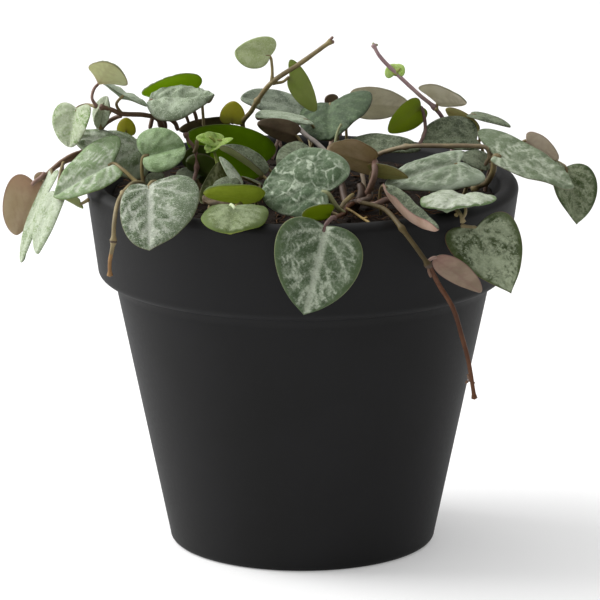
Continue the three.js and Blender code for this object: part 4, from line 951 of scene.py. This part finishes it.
def vine_piece(name, branches, seed):
    """A vine with all its branches, swollen where leaves grew."""
    stack = Stack()
    bands = BANDS.get(name, [])
    looks = list(dict.fromkeys([row[1] for row in branches] + [row[3] for row in bands]))
    for i, (radius, stem_look, route) in enumerate(branches):
        path = curve(places(route))
        total = arc_lengths(path)[-1]
        own = [(low, high, looks.index(band)) for branch, low, high, band in bands if branch == i]
        knots = [(total * share, NODE_SWELL, NODE_HALF) for share in NODE_PLACES]
        knots += [((low + high) / 2, BAND_SWELL, NODE_HALF) for low, high, k in own if looks[k] == "stem_node"]
        tube(stack, path, STEM_SHARE * radius, looks.index(stem_look), sides=12, knots=knots, seed=seed + i,
             end=0.85, bands=own)
    return stack.build(name + "_grown", [material(look) for look in looks], "vine")


nodes = {}
for leaf in LEAVES:
    nodes.setdefault(leaf.name, []).append(leaf)
for seed, (name, leaves) in enumerate(nodes.items(), LEAF_SEED):
    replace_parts(leaf_piece(name, leaves, seed), name)
for seed, (name, branches) in enumerate(VINES.items(), VINE_SEED):
    if name not in nodes:
        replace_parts(vine_piece(name, branches, seed), name)
for seed, (name, (radius, stem_look, route)) in enumerate(TWIGS.items(), TWIG_SEED):
    stack = Stack()
    tube(stack, curve(places(route), 0.35), radius, 0, seed=seed, start=1.1, end=0.75, rough=0.09)
    stack.build(name, [material(stem_look)], "vine")
for seed, leaf in enumerate(SMALL_LEAVES, SMALL_SEED):
    leaf_piece(leaf.name, [leaf], seed)


# ---- the pot
def body_radius(z):
    """The radius of the tapering body at a height."""
    return BASE_RADIUS + (BODY_TOP_RADIUS - BASE_RADIUS) * z / RIM_FOOT_HEIGHT


def inner_radius(z):
    """The radius of the hollow at a height: the body's taper, then the collar's wider one."""
    if z <= RIM_FOOT_HEIGHT:
        return body_radius(z) - WALL
    start = BODY_TOP_RADIUS - WALL
    share = (z - RIM_FOOT_HEIGHT) / (POT_HEIGHT - RIM_FOOT_HEIGHT)
    return start + (RIM_TOP_RADIUS - WALL - start) * share


def arc(x, z, radius, start, end, steps):
    return [(x + radius * math.cos(a), z + radius * math.sin(a)) for a in np.linspace(start, end, steps + 1)]


def line(a, b, steps):
    """The points between a and b, without the two ends."""
    return [(a[0] + (b[0] - a[0]) * k / steps, a[1] + (b[1] - a[1]) * k / steps) for k in range(1, steps)]


def pot_profile():
    """The pot's section as (radius, height): out along the foot, up the outside, over the lip, down the inside."""
    base = arc(body_radius(BASE_FILLET) - BASE_FILLET, BASE_FILLET, BASE_FILLET, -QUARTER, 0, 6)
    crease = (BODY_TOP_RADIUS, RIM_FOOT_HEIGHT)
    foot_x, foot_z = RIM_FOOT_RADIUS - RIM_FOOT_FILLET, RIM_FOOT_HEIGHT + RIM_FOOT_FILLET
    foot = arc(foot_x, foot_z, RIM_FOOT_FILLET, -QUARTER, 0, 8)
    lip_z = POT_HEIGHT - LIP_FILLET
    lip = arc(RIM_TOP_RADIUS - LIP_FILLET, lip_z, LIP_FILLET, 0, math.pi, 18)
    below = (inner_radius(lip_z - LIP_FILLET), lip_z - LIP_FILLET)
    ledge = (inner_radius(RIM_FOOT_HEIGHT), RIM_FOOT_HEIGHT)
    well = (inner_radius(FLOOR), FLOOR)
    near, far = DRAIN_ZONE
    points = [(0.0, 0.0), (near, 0.0), (far, 0.0)] + base + line(base[-1], crease, 22) + [crease]
    points += foot + line(foot[-1], lip[0], 8) + lip + [below] + line(below, ledge, 5) + [ledge]
    return points + line(ledge, well, 10) + [well, (far, FLOOR), (near, FLOOR), (0.0, FLOOR)]


def lathe(profile, segments):
    """Vertices and faces of a profile of (radius, height) turned about the pot's axis."""
    return skin_over([circle(r, z, segments) for r, z in profile])


def solid_tree(name):
    """The tree of a new material that is placed by the object, and that place."""
    t = Tree(bpy.data.materials.new(name))
    return t, t.node("TexCoord", out="Object")


def pot_material():
    t, place = solid_tree("pot_charcoal")
    fine = t.noise(place, 900.0, 4.0, 0.6)
    color = t.mix(t.step(t.noise(place, 28.0, 3.0, 0.55), 0.3, 0.7), "#131313", "#171718")
    color = t.mix(t.times(t.step(fine, 0.5, 0.75), 0.35), color, "#1d1d1e")
    relief = t.ramp(t.noise(place, 2600.0, 2.0, 0.5), 0.45, t.times(fine, 0.55))
    return t.finish(t.skin(color, t.ramp(fine, 0.12, 0.54), 0.15, Normal=t.bump(relief, 0.12, 0.0002)))


def pot_piece():
    """The turned pot, with its drain holes cut."""
    obj = piece("pot_turned", *lathe(pot_profile(), POT_SEGMENTS), [pot_material()], "pot")
    for i in range(DRAIN_HOLES):
        a = TAU * (i + 0.5) / DRAIN_HOLES
        low, high = -FLOOR, 2 * FLOOR
        ring, faces = lathe([(0.0, low), (DRAIN_RADIUS, low), (DRAIN_RADIUS, high), (0.0, high)], DRAIN_SEGMENTS)
        cutter = shape("drain", ring + DRAIN_CIRCLE * np.array([math.cos(a), math.sin(a), 0.0]), faces)
        cut = obj.modifiers.new("drain", "BOOLEAN")
        cut.object = cutter
        cut.operation = "DIFFERENCE"
        cut.solver = "EXACT"
        bpy.context.view_layer.update()
        made = bpy.data.meshes.new_from_object(obj.evaluated_get(bpy.context.evaluated_depsgraph_get()))
        obj.modifiers.remove(cut)
        obj.data = made
        bpy.data.objects.remove(cutter)
    obj.data.polygons.foreach_set("use_smooth", np.ones(len(obj.data.polygons), bool))
    obj.data.update()
    return obj


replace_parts(pot_piece(), "pot")


# ---- the soil
def on_soil(points):
    """The points, set to the height of the lumpy surface."""
    p = np.array(points, float)
    p[:, 2] = 0.0
    lumps = 0.9 * noise(p, 9.0, 2) + 0.6 * noise(p, 3.6, 5) + 0.35 * noise(p, 1.5, 8) + 0.2 * noise(p, 0.7, 11)
    p[:, 2] = SOIL_HEIGHT + lumps
    return p


def soil_material():
    t, place = solid_tree("soil_peat")
    fine = t.noise(place, 900.0, 6.0, 0.7)
    color = t.mix(t.step(t.noise(place, 160.0, 4.0, 0.6), 0.35, 0.65), "#150e08", "#20160e")
    color = t.mix(t.step(fine, 0.52, 0.72), color, "#38281a")
    # painted shade: near black where the bump dips, in the gaps between the lumps
    color = t.mix(t.step(fine, 0.42, 0.3), color, "#0b0806")
    return t.finish(t.skin(color, 0.92, 0.2, Normal=t.bump(fine, 0.9, 0.0008)))


def fibre_material():
    t, place = solid_tree("soil_fibre")
    color = t.mix(t.step(t.noise(place, 220.0, 3.0), 0.35, 0.65), "#2c1c10", "#644426")
    return t.finish(t.skin(color, 0.8, 0.25, Normal=t.bump(t.noise(place, 2500.0, 3.0), 0.4, 0.0003)))


def anywhere(rng, radius):
    """An even draw from a disc about the pot's axis."""
    r = radius * math.sqrt(rng.uniform(0.0, 1.0))
    a = rng.uniform(0, TAU)
    return r * math.cos(a), r * math.sin(a)


def soil_piece():
    """The plug of peat, with loose crumbs and fibres on it."""
    rng = np.random.default_rng(SOIL_SEED)
    stack = Stack()
    outer = inner_radius(SOIL_HEIGHT) - GAP
    rings = [circle(0.0, FLOOR + GAP, SOIL_SEGMENTS)]
    rings += [circle(inner_radius(z) - GAP, z, SOIL_SEGMENTS) for z in WALL_RINGS]
    radii = outer * (1 - np.arange(SOIL_RINGS + 1) / SOIL_RINGS) ** 0.85
    rings += [on_soil(circle(r, 0.0, SOIL_SEGMENTS)) for r in radii]
    stack.add(*skin_over(rings), 0)
    ico = bmesh.new()
    bmesh.ops.create_icosphere(ico, subdivisions=2, radius=1.0)
    ball = np.array([v.co for v in ico.verts])
    ball_faces = [[v.index for v in f.verts] for f in ico.faces]
    ico.free()
    for i in range(CRUMBS):
        x, y = anywhere(rng, outer - CRUMB_MARGIN)
        size = rng.uniform(*CRUMB_SIZE) * np.array([1.0, rng.uniform(0.6, 1.0), rng.uniform(0.5, 0.8)])
        crumb = ball * (1 + 0.35 * noise(ball, 0.8, i)[:, None]) * size
        crumb[:, :2] = crumb[:, :2] @ turned(rng.uniform(0, TAU)).T
        stack.add(crumb + on_soil([(x, y, 0.0)]), ball_faces, 0)
    for i in range(FIBRES):
        x, y = anywhere(rng, outer - FIBRE_MARGIN)
        heading = rng.uniform(0, TAU)
        length = rng.uniform(*FIBRE_LENGTH)
        points = []
        for _ in range(FIBRE_BENDS):
            inward = min(1.0, (outer - FIBRE_END_MARGIN) / math.hypot(x, y))
            x, y = x * inward, y * inward
            points.append(on_soil([(x, y, 0.0)])[0] + (0.0, 0.0, rng.uniform(-0.1, 0.75)))
            heading += rng.uniform(-0.7, 0.7)
            x += length / FIBRE_BENDS * math.cos(heading)
            y += length / FIBRE_BENDS * math.sin(heading)
        tube(stack, curve(points, 0.8), rng.uniform(*FIBRE_RADIUS), 1, sides=4, seed=i, end=0.5)
    return stack.build("soil_peat", [soil_material(), fibre_material()], "soil")


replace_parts(soil_piece(), "soil")


# ---- studio
def studio():
    """A white floor that sweeps up behind, one broad lamp at the left, the sky and the camera."""
    scene = bpy.context.scene
    t, place = solid_tree("floor_white")
    depth = t.node("SeparateXYZ", {0: place}, out=1)
    color = t.mix(t.noise(place, 3.0, 2.0), t.mix(t.step(depth, -0.15, 0.45), "#efefef", "#c8c8c8"), "#dedede")
    white = t.finish(t.skin(color, 0.7, 0.1, **{"Emission Color": "#ffffff", "Emission Strength": 0.22}))
    profile = [(SWEEP_FRONT, 0.0), (SWEEP_BACK, 0.0)]
    profile += [(SWEEP_BACK + SWEEP_RADIUS * math.sin(a), SWEEP_RADIUS - SWEEP_RADIUS * math.cos(a))
                for a in np.linspace(0.1, QUARTER, 16)]
    profile.append((SWEEP_BACK + SWEEP_RADIUS, SWEEP_TOP))
    n = len(profile)
    vertices = np.array([(x, y, z) for x in (-SWEEP_HALF, SWEEP_HALF) for y, z in profile]) / MM
    shape("floor", vertices, [(i, i + n, i + n + 1, i + 1) for i in range(n - 1)], [white])

    lamp = bpy.data.lights.new("key", "AREA")
    lamp.shape = "RECTANGLE"
    lamp.size, lamp.size_y = KEY_SIZE
    lamp.energy = KEY_POWER
    key = bpy.data.objects.new("key", lamp)
    key.location = KEY_PLACE
    key.rotation_euler = Vector(np.subtract(KEY_TARGET, KEY_PLACE)).to_track_quat("-Z", "Y").to_euler()
    scene.collection.objects.link(key)

    t = Tree(bpy.data.worlds.new("studio"), "OutputWorld")
    across, depth, up = t.add("SeparateXYZ", {0: t.node("TexCoord", out="Generated")}).outputs
    overhead = t.step(up, 0.15, 0.95, 0.0, SKY_TOP)
    leftward = t.times(t.step(across, -1.0, 0.0, SKY_LEFT, 0.0), t.step(depth, -0.7, 0.5, 0.3, 1.0))
    behind = t.step(depth, -0.6, 0.9, SKY_FRONT, SKY_BACK)
    strength = t.math("ADD", t.math("ADD", overhead, leftward), behind)
    scene.world = t.finish(t.node("Background", {0: "#ffffff", 1: strength}))

    scene.view_settings.view_transform = "Standard"
    camera_data = bpy.data.cameras.new("camera")
    camera_data.sensor_width = 36.0
    camera_data.lens = CAMERA_LENS
    camera_data.shift_x = CAMERA_SHIFT_X
    camera_data.clip_end = 50.0
    camera = bpy.data.objects.new("camera", camera_data)
    camera.location = CAMERA_PLACE
    camera.rotation_euler = (math.radians(CAMERA_TILT), 0.0, 0.0)
    scene.collection.objects.link(camera)
    scene.camera = camera


studio()

bpy.context.view_layer.update()
